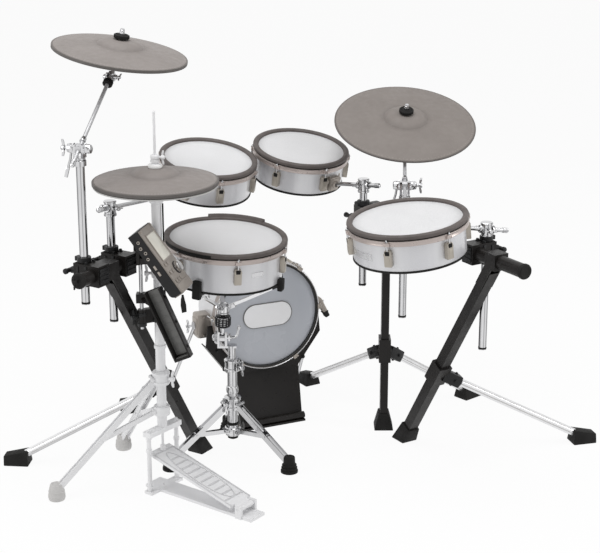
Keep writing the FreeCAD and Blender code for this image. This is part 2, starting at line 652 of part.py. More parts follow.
# Cymbal pads
def cymbal_profile(radius):
    top = d.bow_rise + d.bell_height
    thick = d.cymbal_thickness
    return [(d.cymbal_hole, top), (d.bell_flat, top), (d.bell_radius, d.bow_rise, d.bell_round, -1),
            (radius, 0, d.bow_round, -1), (radius, thick * d.edge_share),
            (d.bell_radius + d.skin_step, d.bow_rise + thick, d.bow_round, 1),
            (d.bell_flat + d.skin_step, top + thick, d.bell_round, 1), (d.cymbal_hole, top + thick)]


def cymbal_on_boom(name, radius, centre, tilt, post_foot, post_drop, post_rise):
    tilt = Vector(tilt).normalize()
    level = facing(centre, tilt, Vector(1, 0, 0))
    node(name + "_cymbal", [turned(cymbal_profile(radius))], level)
    rise = number(d.bow_rise) + number(d.bell_height)
    pivot = centre + tilt * rise
    seat_place = facing(pivot, tilt, Vector(1, 0, 0))
    bore = d.spindle_radius + d.slip / 2
    thick = d.cymbal_thickness
    rock_axis = seat_place.Rotation.multVec(Vector(1, 0, 0))
    rock_reach = rock_axis * number(d.sleeve_radius)
    rock_pin = rod(d.rock_pin_radius, pivot - rock_reach, pivot + rock_reach)
    sleeve = turned([(bore, -d.seat_height), (d.seat_base, -d.seat_height), (d.seat_radius, -d.seat_shoulder),
                     (d.seat_radius, -d.seat_cup), (d.sleeve_radius, -d.seat_cup / 2),
                     (d.sleeve_radius, thick + d.sleeve_rise), (bore, thick + d.sleeve_rise)], seat_place)
    seat = cut(sleeve, [rock_pin])
    cap_low = thick + d.cap_lift
    cap = turned([(bore, cap_low), (d.sleeve_radius, cap_low), (d.cap_radius, cap_low + d.cap_flare),
                  (d.cap_radius, cap_low + d.cap_height - d.crown_round),
                  (d.cap_radius - d.crown_round, cap_low + d.cap_height, d.crown_round, 1),
                  (bore, cap_low + d.cap_height)], seat_place)
    node(name + "_cap", [seat, cap])
    joint = post_foot + UP * number(d.bar_height + post_rise)
    ball_centre = pivot - tilt * number(d.spindle_drop)
    way = (ball_centre - joint).normalize()
    axis = UP.cross(way).normalize()
    pieces = [rod(d.boom_radius, joint - way * number(d.boom_tail), ball_centre),
              ball(d.boom_ball, ball_centre),
              rod(d.spindle_radius, ball_centre, pivot + tilt * number(d.spindle_rise)), rock_pin]
    node(name + "_boom", [fuse(pieces + knuckle(joint, axis))])
    node(name + "_post", post_tube(post_foot, post_drop, joint.z - number(d.fork_drop))
         + fork(joint, axis, d.post_radius + d.fork_rim))
    anchor(name + "_post", joint, UP)
    anchor(name + "_boom", joint, axis)
    anchor(name + "_cymbal", pivot, rock_axis)


cymbal_on_boom("crash", d.crash_radius, over_bar(d.crash_x, d.crash_y, d.crash_rise), Vector(0.16, -0.06, 1),
               crash_foot, d.crash_post_drop, d.crash_post_rise)
cymbal_on_boom("ride", d.ride_radius, over_bar(d.ride_x, d.ride_y, d.ride_rise), Vector(0.05, -0.36, 1),
               ride_foot, d.ride_post_drop, d.ride_post_rise)

# Snare drum, its basket, column and tripod
snare_tilt = Vector(0.05, -0.05, 1).normalize()
snare_place = facing(vec(d.snare_x, d.snare_y, d.snare_top), snare_tilt, Vector(1, 0, 0))
snare_shell, snare_bottom = drum("snare", d.snare_radius, d.snare_depth, snare_place, 44)
arm_top = snare_bottom - d.tip_floor
pivot_level = number(arm_top) - number(d.basket_drop)
snare_pivot = snare_place.multVec(Vector(0, 0, pivot_level))
tilt_axis = Vector(1, 0, 0)
hub_level = number(arm_top) - number(d.hub_drop)
hub = cylinder(d.basket_hub_radius, d.basket_hub_height,
               standing(Vector(0, 0, hub_level - number(d.basket_hub_height) / 2)))
adjuster = cylinder(d.adjuster_radius, d.adjuster_height,
                    standing(Vector(0, 0, pivot_level + number(d.adjuster_rise))))
stem = cylinder(d.stem_radius, hub_level - pivot_level, standing(Vector(0, 0, pivot_level)))
arms = []
tips = []
basket_angles = (-20, 100, 246)
inner = snare_shell + d.running
for angle in basket_angles:
    turn = Placement(Vector(), Rotation(UP, angle))
    tip = slab([(snare_shell - d.tip_reach, arm_top), (snare_shell + d.tip_depth, arm_top),
                (snare_shell + d.tip_depth, arm_top + d.tip_height), (inner, arm_top + d.tip_height),
                (inner, snare_bottom - d.running), (snare_shell - d.tip_reach, snare_bottom - d.running)],
               d.tip_width, turn)
    low = turn.multVec(Vector(0, 0, hub_level))
    high = turn.multVec(vec(snare_shell - d.arm_inset, 0, arm_top + d.arm_rise))
    across = turn.multVec(Vector(0, 1, 0))
    bar = block(d.basket_arm * 1.3, d.basket_arm, (high - low).Length, facing(low, high - low, across))
    arms.append(cut(bar, [hub, tip]))
    tips.append(tip)
local_axis = snare_place.Rotation.inverted().multVec(tilt_axis)
middle_piece = fuse([hub, adjuster, stem] + knuckle(Vector(0, 0, pivot_level), local_axis))
node("snare_basket", [middle_piece] + arms + tips, snare_place)
tilter_offset = number(d.tilter_offset)
stand_axis = Vector(snare_pivot.x + tilter_offset, snare_pivot.y, 0)
column_low = stand_axis + UP * number(d.column_bottom)
column_high = column_low + UP * (snare_pivot.z - number(d.fork_drop) - column_low.z)
node("snare_column", [rod(d.column_radius, column_low, column_high)]
     + fork(snare_pivot, tilt_axis, d.column_radius + d.fork_rim, tilter_offset))
anchor("snare_column", snare_pivot, UP)
anchor("snare", snare_pivot, tilt_axis)


def flat_pair(start, end, across, width, thickness, spread):
    """Two flat bars side by side from start to end."""
    pieces = []
    for side in (-1, 1):
        place = facing(start + across * (side * spread), end - start, across)
        pieces.append(block(thickness, width, (end - start).Length, place))
    return pieces


def ridged_foot(point):
    """Rubber foot with three ridges round it."""
    step = d.foot_ridge
    top = d.foot_radius
    base = top + step * 4
    high = d.foot_height
    return turned([(0, 0), (base, 0), (base, step * 3), (base - step * 1.5, step * 4),
                   (base - step * 0.75, step * 7), (base - step * 2.5, step * 8),
                   (base - step * 1.75, step * 11), (base - step * 3.5, step * 12), (top, step * 15),
                   (top, high - step * 2), (top - step * 2, high, step * 2, 1), (0, high)],
                  standing(point))


def tripod(axis, collar_z, low_z, collar_radius, circle, angles, key):
    """Collars, double-braced legs and rubber feet of a stand."""
    collar_low = axis + UP * number(collar_z - d.collar_height / 2)
    brace_low = axis + UP * number(low_z - d.low_collar_height / 2)
    pieces = [cylinder(collar_radius, d.collar_height, standing(collar_low)),
              cylinder(collar_radius - d.collar_step, d.low_collar_height, standing(brace_low))]
    feet = []
    for index, angle in enumerate(angles):
        way = Vector(math.cos(math.radians(angle)), math.sin(math.radians(angle)), 0)
        across = UP.cross(way)
        root = axis + way * number(d.leg_root)
        head = root + UP * number(collar_z)
        end = axis + way * number(circle) + UP * (number(d.foot_height) * 0.6)
        pieces += flat_pair(head, end, across, d.leg_bar_width, d.leg_bar, number(d.leg_spread))
        joint = head + (end - head) * 0.56
        pieces += flat_pair(root + UP * number(low_z), joint, across, d.leg_bar_width * 0.8, d.leg_bar,
                            number(d.leg_spread - d.leg_bar - d.running * 2))
        rivet = across * (number(d.leg_spread) + number(d.leg_bar))
        pieces.append(rod(d.rivet_radius, joint - rivet, joint + rivet))
        foot = ridged_foot(Vector(end.x, end.y, 0))
        boots["%s_%d" % (key, index)] = foot
        feet.append(foot)
    return pieces, feet


stand_pieces, stand_feet = tripod(stand_axis, d.leg_collar_z, d.low_collar_z, d.hub_radius, d.foot_circle,
                                  (-33, 97, 207), "snare")
stand_tube = cylinder(d.stand_radius, d.stand_top - d.stand_bottom,
                      standing(stand_axis + UP * number(d.stand_bottom)))
lock = cylinder(d.stand_radius + d.lock_wall, d.lock_height,
                standing(stand_axis + UP * number(d.stand_top - d.lock_drop)))
column_bore = cylinder(d.column_radius + d.slip, d.stand_top,
                       standing(stand_axis + UP * number(d.stand_bottom + d.bore_floor)))
node("snare_stand", [cut(fuse([stand_tube, lock] + stand_pieces), [column_bore] + stand_feet)])

# Kick drum: Z of its own frame points at the player, Y up
kick_turn = math.radians(number(d.kick_yaw))
kick_normal = Vector(math.sin(kick_turn), -math.cos(kick_turn), 0)
kick_right = Vector(math.cos(kick_turn), math.sin(kick_turn), 0)
kick_place = facing(vec(d.kick_x, d.kick_y, d.kick_height), kick_normal, kick_right)
kick_shell = d.kick_radius - d.kick_hoop_width
kick_front = -d.rim_height - d.head_thickness
kick_back = kick_front - d.kick_depth
inside = kick_shell - d.shell_wall
kick_floor = kick_back + d.pan_thickness
node("kick_shell", [turned([(inside, kick_front), (kick_shell, kick_front), (kick_shell, kick_back),
                            (0, kick_back), (0, kick_floor), (inside, kick_floor)]),
                    cone(d.kick_tower_base, d.kick_tower_top, d.kick_depth - d.pan_thickness - d.running,
                         standing(vec(0, 0, kick_floor)))], kick_place)
kick_inner = kick_shell + d.running
kick_lip = kick_shell - d.rim_lip * 0.6
kick_hoop_back = kick_front - d.kick_hoop_depth
node("kick_hoop", [turned([(kick_lip, -d.rim_height), (kick_inner, -d.rim_height),
                           (kick_inner, kick_hoop_back), (d.kick_radius, kick_hoop_back),
                           (d.kick_radius, -d.kick_hoop_round),
                           (d.kick_radius - d.kick_hoop_round, 0, d.kick_hoop_round, 1),
                           (kick_lip + d.kick_lip_round, 0),
                           (kick_lip, -d.kick_lip_round, d.kick_lip_round, 1)])], kick_place)
node("kick_head", [cylinder(kick_shell, d.head_thickness, standing(vec(0, 0, kick_front)))], kick_place)
patch_round = d.patch_height / 2
patch_straight = d.patch_width / 2 - patch_round
patch = slab([(-patch_straight, -patch_round, patch_round, 1), (patch_straight, -patch_round),
              (patch_straight + patch_round, 0, patch_round, 1),
              (patch_straight, patch_round, patch_round, 1),
              (-patch_straight, patch_round), (-patch_straight - patch_round, 0, patch_round, 1)],
             d.patch_thickness, Placement(vec(0, 0, d.patch_thickness / 2 - d.rim_height),
                                          Rotation(Vector(1, 0, 0), -90)))
node("kick_patch", [patch], kick_place)

# Claws with lugs over the top of the kick, and the spur brackets at its sides
kick_lugs = []
lug_front = kick_hoop_back - d.hoop_gap
lug_back = lug_front - d.lug_length
lug_inner = kick_shell + d.slip * 2
lug_profile = [(lug_inner, lug_back), (kick_shell + d.lug_depth * 0.7, lug_back),
               (kick_shell + d.lug_depth, lug_back + d.lug_toe),
               (kick_shell + d.lug_depth, lug_front - d.lug_slope),
               (kick_shell + d.lug_depth * 0.6, lug_front), (lug_inner, lug_front)]
for angle in (52, 90, 128):
    turn = Placement(Vector(), Rotation(UP, angle))
    kick_lugs.append(slab(lug_profile, d.lug_width, turn))
    spot = turn.multVec(vec(kick_shell + d.lug_depth * 0.36, 0, lug_front))
    kick_lugs.append(cylinder(d.tension_radius, d.hoop_gap, standing(spot)))
shell_hole = cylinder(kick_shell + d.slip * 2, d.kick_depth * 3,
                      standing(vec(0, 0, d.kick_depth * -2)))
bracket_middle = number(kick_shell + (d.spur_bracket_reach - d.spur_bracket_sink) / 2)
for side in (-1, 1):
    spot = vec(side * bracket_middle, -d.spur_drop, -d.spur_depth - d.spur_bracket_width / 2)
    blank = block(d.spur_bracket_reach + d.spur_bracket_sink, d.spur_bracket_height, d.spur_bracket_width,
                  standing(spot))
    kick_lugs.append(cut(blank, [shell_hole]))
node("kick_lugs", kick_lugs, kick_place)
bracket_face = number(kick_shell + d.spur_bracket_reach + d.running)


def spur(name, side, foot_side, foot_back):
    """Leg that folds about the axis across its bracket; its rubber tip stands on the floor."""
    hub_start = kick_place.multVec(vec(side * bracket_face, -d.spur_drop, -d.spur_depth))
    outward = kick_right * side
    hub_run = outward * number(d.spur_hub_length)
    pivot = hub_start + hub_run * 0.5
    foot = kick_place.multVec(vec(foot_side * side, 0, -foot_back))
    tip = vec(foot.x, foot.y, d.spur_tip_radius)
    node(name, [fuse([rod(d.spur_hub_radius, hub_start, hub_start + hub_run), rod(d.spur_radius, pivot, tip),
                      ball(d.spur_tip_radius, tip)])])
    anchor(name, pivot, outward)


spur("kick_spur_left", -1, d.left_spur_out, d.left_spur_back)
spur("kick_spur_right", 1, d.right_spur_out, d.right_spur_back)

# Kick stand: cradle plate with side flanges, a lower panel that leans to the player, base plate and pedal bar
plate_depth = number(kick_hoop_back - d.plate_gap)
plate_low = number(d.base_thickness - d.kick_height)
plate_mid = number(d.plate_bend_height - d.kick_height)
top_half, low_half = number(d.plate_top_half), number(d.plate_bottom_half)
bend_half = d.plate_bottom_half + d.plate_flare
shoulder = -d.plate_shoulder
plate_top = -d.plate_top_drop
plate_outline = [(-bend_half, plate_mid), (bend_half, plate_mid), (d.plate_top_half, shoulder),
                 (d.plate_top_half - d.plate_top_inset, plate_top),
                 (d.plate_top_inset - d.plate_top_half, plate_top),
                 (-d.plate_top_half, shoulder)]
plate = slab(plate_outline, d.plate_thickness,
             Placement(Vector(0, 0, plate_depth), Rotation(Vector(1, 0, 0), -90)))
lean = math.radians(number(d.panel_lean))
panel_length = (plate_mid - plate_low) / math.cos(lean)
panel_outline = [(-d.plate_bottom_half, -panel_length), (d.plate_bottom_half, -panel_length),
                 (bend_half, 0), (-bend_half, 0)]
panel_turn = Rotation(Vector(1, 0, 0), -90 - number(d.panel_lean))
panel = slab(panel_outline, d.plate_thickness, Placement(Vector(0, plate_mid, plate_depth), panel_turn))
flanges = []
for side in (-1, 1):
    low = vec(bend_half * side, plate_mid, 0)
    high = vec(side * top_half, shoulder, 0)
    way = (high - low).normalize()
    back = plate_depth - number(d.plate_thickness) / 2 - number(d.flange_depth) / 2
    turn = Rotation(Vector(0, 0, 1), Vector(0, 1, 0), way, "ZXY")
    spot = low + Vector(0, 0, back) + vec(d.flange_inset * -side, 0, 0)
    flanges.append(block(d.flange_depth, d.flange_thickness, (high - low).Length, Placement(spot, turn)))
panel_toe = plate_depth + (plate_mid - plate_low) * math.tan(lean)
base_start = panel_toe - number(d.base_plate_depth - d.base_overhang)
base = block(d.plate_bottom_half * 2, d.base_thickness, d.base_plate_depth, standing(
    Vector(0, plate_low - number(d.base_thickness) / 2, base_start)))
bar_spot = vec(-low_half, d.pedal_bar_radius + plate_low, d.pedal_bar_radius + d.plate_gap + panel_toe)
pedal_bar = rod(d.pedal_bar_radius, bar_spot, bar_spot + Vector(2 * low_half, 0, 0))
below_base = block(FLOOR_SPAN * 2, FLOOR_DEPTH, FLOOR_SPAN * 2,
                   standing(Vector(0, plate_low - FLOOR_DEPTH / 2, -FLOOR_SPAN)))
cradle = cut(fuse([plate, panel] + flanges), [shell_hole, below_base, pedal_bar])
node("kick_stand", [cradle, base, pedal_bar], kick_place)

# Hi-hat: stand, bottom pad on its seat, rod with clutch and top pad, pedal
hat_axis = vec(d.hihat_x, d.hihat_y, 0)
hat_top = standing(hat_axis + UP * number(d.hihat_z))
hat_low = Placement(hat_axis + UP * (number(d.hihat_z) - number(d.hihat_gap)), Rotation(Vector(1, 0, 0), 180))
node("hihat_top_cymbal", [turned(cymbal_profile(d.hihat_radius))], hat_top)
node("hihat_bottom_cymbal", [turned(cymbal_profile(d.hihat_radius))], hat_low)
bell_top = d.hihat_z + d.bow_rise + d.bell_height
bell_low = d.hihat_z - d.hihat_gap - d.bow_rise - d.bell_height
seat_top = bell_low - d.cymbal_thickness - d.running
hat_at = standing(hat_axis)
rod_bore = d.hihat_rod_radius + d.slip
yoke_top = d.hihat_tube_bottom + d.yoke_height
pieces, hat_feet = tripod(hat_axis, d.hihat_collar_z, d.hihat_low_collar_z,
                          d.hihat_tube_radius + d.hihat_collar_wall, d.hihat_foot_circle, (196, 118), "hihat")
seat_low = seat_top - d.hihat_seat_height
tube = cylinder(d.hihat_tube_radius, seat_low - yoke_top, standing(hat_axis + UP * number(yoke_top)))
stub_top = seat_top + d.hihat_stub_height
seat = turned([(0, seat_low), (d.hihat_tube_radius + d.hihat_seat_wall, seat_low),
               (d.hihat_seat_radius, seat_top - d.hihat_seat_rim), (d.hihat_seat_radius, seat_top),
               (d.hihat_stub_radius, seat_top), (d.hihat_stub_radius, stub_top), (0, stub_top)], hat_at)
rod_top = d.hihat_z + d.hihat_rod_rise
long_bore = rod(rod_bore, hat_axis, hat_axis + UP * number(rod_top))
spring_floor = yoke_top + d.spring_low
wide_bore = cylinder(d.hihat_rod_radius + d.spring_wall, seat_low - d.spring_high - yoke_top,
                     standing(hat_axis + UP * number(spring_floor)))
node("hihat_stand", [cut(fuse([tube, seat] + pieces), [long_bore, wide_bore] + hat_feet)])

pedal_turn = Rotation(UP, number(d.pedal_yaw))
pedal_place = Placement(hat_axis, pedal_turn)
heel = vec(d.pedal_length, 0, d.pedal_heel_z)
rod_low = d.pedal_toe_z + d.pedal_thickness - d.link_sink
link = cylinder(d.link_radius, d.link_height, standing(hat_axis + UP * number(rod_low)))
pull = cylinder(d.hihat_rod_radius, rod_top - rod_low, standing(hat_axis + UP * number(rod_low)))
clutch_bore = d.hihat_rod_radius
bell_upper = bell_top + d.cymbal_thickness
clutch_low = bell_top - d.clutch_nut_height
clutch_top = bell_upper + d.clutch_height
clutch = turned([(clutch_bore, clutch_low), (d.clutch_nut_radius, clutch_low),
                 (d.clutch_nut_radius, bell_top), (d.clutch_neck, bell_top), (d.clutch_neck, bell_upper),
                 (d.felt_radius, bell_upper),
                 (d.felt_radius, bell_upper + d.felt_height),
                 (d.clutch_radius, bell_upper + d.clutch_shoulder), (d.clutch_radius, clutch_top),
                 (clutch_bore, clutch_top)], hat_at)
node("hihat_rod", [fuse([pull, link, clutch])])
anchor("hihat_rod", hat_axis + UP * number(d.hihat_z), UP)

frame_side = number(d.pedal_width / 2 + d.frame_gap)
frame_width = 2 * frame_side + number(d.frame_margin)


def on_pedal(x, y, z):
    return pedal_place.multiply(standing(vec(x, y, z)))


frame_pieces = [block(d.pedal_length + d.frame_extra, d.pedal_width * 0.7, d.frame_foot,
                      on_pedal(d.pedal_length / 2, 0, 0)),
                block(d.frame_bar, frame_width, d.yoke_height, on_pedal(0, 0, yoke_top - d.yoke_height)),
                block(d.frame_bar, frame_width, d.frame_foot, pedal_place)]
ear_middle = number(d.heel_half + d.running + d.heel_ear / 2)
for side in (-1, 1):
    low = pedal_place.multVec(Vector(0, side * frame_side, 0))
    frame_pieces.append(rod(d.frame_post_radius, low, low + UP * number(yoke_top - d.frame_post_sink)))
    frame_pieces.append(block(d.heel_ear_length, d.heel_ear, d.pedal_heel_z + d.heel_ear_rise,
                              on_pedal(d.pedal_length, side * ear_middle, 0)))
heel_pin = pedal_place.multVec(heel)
pin_axis = pedal_turn.multVec(Vector(0, 1, 0))
pin_run = pin_axis * number(d.heel_half + d.heel_pin_reach)
hole_run = pin_run * 2
pin_hole = rod(d.spindle_radius + d.slip, heel_pin - hole_run, heel_pin + hole_run)
node("hihat_frame", [cut(fuse(frame_pieces), [long_bore, pin_hole])])
toe = -d.pedal_toe_reach
board = slab([(toe, d.pedal_toe_z), (d.pedal_length, d.pedal_heel_z - d.pedal_thickness / 2),
              (d.pedal_length, d.pedal_heel_z + d.pedal_thickness / 2),
              (toe, d.pedal_toe_z + d.pedal_thickness)], d.pedal_width, pedal_place)
heel_trim = []
trim_middle = number(d.heel_half + d.pedal_width / 2)
for side in (-1, 1):
    heel_trim.append(block(d.heel_trim_length, d.pedal_width, d.pedal_toe_z * 2,
                           on_pedal(d.pedal_length, side * trim_middle, 0)))
board = cut(board, heel_trim)
heel_run = pin_axis * number(d.heel_half)
node("hihat_pedal", [fuse([board, rod(d.heel_radius, heel_pin - heel_run, heel_pin + heel_run),
                           rod(d.spindle_radius, heel_pin - pin_run, heel_pin + pin_run)])])
anchor("hihat_pedal", heel_pin, pin_axis)

# Sound module on its rod, with the tray below
slope = math.radians(number(d.module_slope))
module_yaw = math.radians(number(d.module_yaw))
ahead = Vector(math.cos(module_yaw), math.sin(module_yaw), 0)
module_run = ahead * math.cos(slope) - UP * math.sin(slope)
module_up = ahead * math.sin(slope) + UP * math.cos(slope)
module_place = facing(vec(d.module_x, d.module_y, d.module_z), module_up, module_run)
half = d.module_length / 2
case = slab([(-half, -d.module_depth), (half - d.case_round, -d.module_depth),
             (half, d.case_round - d.module_depth, d.case_round, 1), (half, 0), (-half, 0)], d.module_width)
hinge_at = vec(-d.hinge_along, 0, -d.module_depth - d.hinge_drop)
neck = block(d.neck_length, d.hinge_half * 2, d.neck_height,
             standing(hinge_at - UP * number(d.neck_sink)))
barrel_run = vec(0, d.hinge_half, 0)
barrel_pin = vec(0, d.hinge_half + d.hinge_pin_reach, 0)
hinge_round = [rod(d.hinge_radius, hinge_at - barrel_run, hinge_at + barrel_run),
               rod(d.spindle_radius, hinge_at - barrel_pin, hinge_at + barrel_pin)]
node("module_body", [fuse([case, neck] + hinge_round)], module_place)
panel = block(d.module_length - d.panel_inset, d.module_width - d.panel_inset, d.panel_thickness)
node("module_panel", [panel], module_place)
dial_at = module_place.multVec(vec(d.dial_along, d.dial_across, d.panel_thickness + d.running))
node("module_dial", [cylinder(d.dial_radius, d.dial_height, facing(dial_at, module_up, module_run))])
anchor("module_dial", dial_at, module_up)
module_hinge = module_place.multVec(hinge_at)
anchor("module", module_hinge, UP.cross(ahead))

# Hinge ears, back plate and rod block, laid out about the hinge with X ahead
hinge_place = facing(module_hinge, UP, ahead)
rod_foot = vec(d.module_rod_x, d.module_rod_y, 0)
rod_spot = hinge_place.inverse().multVec(rod_foot)


def at_hinge(x, y, z):
    return hinge_place.multiply(standing(vec(x, y, z)))


block_width = d.block_half * 2
back_plate = -d.back_plate
rod_end = d.block_half + rod_spot.y
holder = [block(block_width, block_width, d.block_height, at_hinge(rod_spot.x, rod_spot.y, d.block_rise)),
          block(d.back_thickness, rod_end + d.back_margin, d.back_height,
                at_hinge(back_plate - d.back_sink, (rod_end - d.back_margin) / 2, -d.back_drop)),
          block(back_plate - rod_spot.x, block_width, d.block_height,
                at_hinge((back_plate + rod_spot.x) / 2, rod_spot.y, d.block_rise))]
for side in (-1, 1):
    ear = side * number(d.hinge_half + d.running + d.ear_thickness / 2)
    holder.append(block(d.ear_length, d.ear_thickness, d.ear_radius * 2,
                        at_hinge(d.ear_length / -2, ear, -d.ear_radius)))
    ear_place = at_hinge(0, -d.ear_thickness / 2 + ear, 0)
    upright = Placement(Vector(), Rotation(Vector(1, 0, 0), -90))
    holder.append(cylinder(d.ear_radius, d.ear_thickness, ear_place.multiply(upright)))
hinge_run = UP.cross(ahead) * number(d.hinge_half * 3)
hinge_hole = rod(d.spindle_radius + d.slip, module_hinge - hinge_run, module_hinge + hinge_run)
module_rod_top = rod_foot + UP * (module_hinge.z + number(d.module_rod_rise))
rod_hole = rod(d.module_rod_radius + d.slip / 2, rod_foot, module_rod_top + UP * number(d.module_rod_rise))
module_rod = rod(d.module_rod_radius, rod_foot + UP * number(d.module_rod_bottom), module_rod_top)
line = Vector(rod_foot.x - hat_axis.x, rod_foot.y - hat_axis.y, 0)
grip_turn = Rotation(Vector(1, 0, 0), line)
grip_base = UP * number(d.grip_z)
tube_hole = rod(d.hihat_tube_radius + d.slip / 2, hat_axis, hat_axis + UP * number(d.hihat_z))
tube_grip = cylinder(d.hihat_tube_radius + d.grip_wall, d.grip_height, standing(hat_axis + grip_base))
rod_grip = cylinder(d.module_rod_radius + d.rod_grip_wall, d.grip_height, standing(rod_foot + grip_base))
bridge_place = Placement(hat_axis + line * 0.5 + grip_base, grip_turn)
bridge = block(line.Length, d.grip_width, d.grip_height, bridge_place)
grip = cut(fuse([tube_grip, rod_grip, bridge]), [tube_hole, rod_hole])
tray_slope = math.radians(number(d.tray_slope))
tray_run = ahead * math.cos(tray_slope) - UP * math.sin(tray_slope)
tray_place = facing(vec(d.tray_x, d.tray_y, d.tray_z), ahead.cross(UP), tray_run)
tray_block = block(d.tray_length, d.tray_width, d.tray_depth, tray_place)
channel_place = tray_place.multiply(standing(vec(-d.tray_lip, 0, d.tray_floor)))
channel = block(d.tray_length, d.tray_width - d.tray_wall * 2, d.tray_depth, channel_place)
tray_clamp = block(d.tray_clamp_size, d.tray_clamp_size, d.tray_clamp_height,
                   standing(rod_foot + UP * number(d.tray_clamp_z)))
tray_back = tray_place.multVec(vec(-d.tray_arm_along, 0, d.tray_arm_sink))
tray_arm = rod(d.tray_arm_radius, rod_foot + UP * number(d.tray_clamp_z + d.tray_clamp_height / 2), tray_back)
tray = cut(fuse([tray_block, tray_clamp, tray_arm]), [channel, rod_hole])
node("module_bracket", [cut(fuse(holder), [rod_hole, hinge_hole]), grip, tray])
node("module_rod", [module_rod])

# Lead of the hi-hat pad, tight between the seat and the grip below
lead_top = hat_axis + vec(d.lead_out, -d.lead_front, seat_top - d.lead_drop)
lead_end = vec(lead_top.x, lead_top.y, d.grip_z + d.grip_height)
node("hihat_lead", [rod(d.lead_radius, lead_end, lead_top)])

node("rubber_feet", caps + list(boots.values()))

doc.recompute()
failed = [item.Name for item in doc.Objects if "Invalid" in item.State or "Error" in item.State]
if failed:
    raise RuntimeError("failed objects: " + ", ".join(failed))
for item in nodes:
    if item.Shape.isNull() or not item.Shape.isValid():
        raise RuntimeError("bad shape: " + item.Label)
os.makedirs("parts", exist_ok=True)
for item in nodes:
    item.Shape.exportStep("parts/%s.step" % item.Label)
for name, point, axis in anchors:
    print("anchor %s %.3f %.3f %.3f %.6f %.6f %.6f" % (name, *point, *axis))
print("%d nodes" % len(nodes))
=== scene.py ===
import math

import bmesh
import bpy
from mathutils import Matrix, Vector


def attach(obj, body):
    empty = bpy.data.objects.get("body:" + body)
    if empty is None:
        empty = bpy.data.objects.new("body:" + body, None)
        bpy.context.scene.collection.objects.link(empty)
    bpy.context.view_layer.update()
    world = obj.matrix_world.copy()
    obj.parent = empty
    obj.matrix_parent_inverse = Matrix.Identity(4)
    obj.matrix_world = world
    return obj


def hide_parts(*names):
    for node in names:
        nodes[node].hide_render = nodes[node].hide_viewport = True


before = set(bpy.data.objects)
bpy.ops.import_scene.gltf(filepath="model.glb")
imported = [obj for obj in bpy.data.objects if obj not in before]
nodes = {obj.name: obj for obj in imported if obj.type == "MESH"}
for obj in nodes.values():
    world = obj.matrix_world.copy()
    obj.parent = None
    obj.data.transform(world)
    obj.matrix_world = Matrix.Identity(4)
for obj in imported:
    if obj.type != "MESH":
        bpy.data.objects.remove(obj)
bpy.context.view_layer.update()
UP = Vector((0, 0, 1))
MM = 0.001


def placed(name, data):
    """New object in the scene."""
    made = bpy.data.objects.new(name, data)
    bpy.context.collection.objects.link(made)
    return made


# Camera of the photograph: 1600 pixels of focal length on a frame 600 wide
camera_data = bpy.data.cameras.new("camera")
camera_data.lens = 96
camera_data.sensor_width = 36
camera_data.sensor_fit = "HORIZONTAL"
camera = placed("camera", camera_data)
camera.location = (-0.013, -4.270, 1.850)
camera.rotation_euler = (math.radians(72.5), 0, 0)
bpy.context.scene.camera = camera
bpy.context.scene.view_settings.view_transform = "Standard"


def frame_of(origin, up, right):
    """Matrix at origin with Z along up and X as near right as it goes."""
    z = Vector(up).normalized()
    x = Vector(right)
    x = (x - z * x.dot(z)).normalized()
    turn = Matrix((x, z.cross(x), z)).transposed().to_4x4()
    return Matrix.Translation(Vector(origin)) @ turn


def at(x, y, z):
    return Matrix.Translation((x, y, z))


def turn_about(axis, degrees):
    return Matrix.Rotation(math.radians(degrees), 4, axis)


def spin(degrees):
    return turn_about("Z", degrees)


def toward(place, x, y, z):
    """Direction of a local vector of place."""
    return place.to_3x3() @ Vector((x, y, z))


# Places and sizes that the construction gives, in millimetres
BAR_HEIGHT = 642
BAR_YAW = math.radians(32)
POST_OFFSET = 36
# Centre of the head, axis, radius over the rim and depth of the shell
DRUMS = {
    "tom1": ((-275, 206, 800), (0.13, -0.17, 1), 142, 90),
    "tom2": ((-9, 328, 802), (0.12, -0.17, 1), 142, 90),
    "floor_tom": ((264, -284, 757), (-0.10, -0.05, 1), 159, 93),
    "snare": ((-213, -113, 657), (0.05, -0.05, 1), 168, 105),
}
HOOP_MARGIN = 11
LUG_STARTS = {"tom1": 44, "tom2": 46, "floor_tom": 47, "snare": 44}
BELL_RISE = 31
# Centre of the edge's circle, axis and radius
CYMBALS = {
    "crash": ((-483, -118, 1152), (0.16, -0.06, 1), 178),
    "ride": ((289, 249, 885), (0.05, -0.36, 1), 203),
    "hihat_top": ((-382, -300, 853), (0, 0, 1), 160),
    "hihat_bottom": ((-382, -300, 846), (0, 0, -1), 160),
}


class Bar:
    def __init__(self, side, x, y, length):
        self.start = Vector((x, y, BAR_HEIGHT))
        self.run = Vector((-side * math.sin(BAR_YAW), math.cos(BAR_YAW), 0))
        self.out = Vector((side * math.cos(BAR_YAW), math.sin(BAR_YAW), 0))
        self.length = length

    def at(self, distance, offset=0):
        return self.start + self.run * distance + self.out * offset


right_bar = Bar(1, 554.2, -395, 704)
left_bar = Bar(-1, -562, -474, 305)
# Bar, distance along it, side of it and height of the lower end
POSTS = {
    "crash": (left_bar, 64, 1, 563),
    "tom1": (left_bar, 175, 1, 484),
    "floor_tom": (right_bar, 199, 1, 370),
    "ride": (right_bar, 471, -1, 395),
    "tom2": (right_bar, 671, -1, 435),
}
ROD_CLAMP_HEIGHTS = {"tom1": 785, "tom2": 728, "floor_tom": 700}
POST_TOPS = {"crash": 962, "ride": 770}
post_feet = {}
for name, (bar, along, side, bottom) in POSTS.items():
    foot = bar.at(along, POST_OFFSET * side)
    post_feet[name] = Vector((foot.x, foot.y, 0))

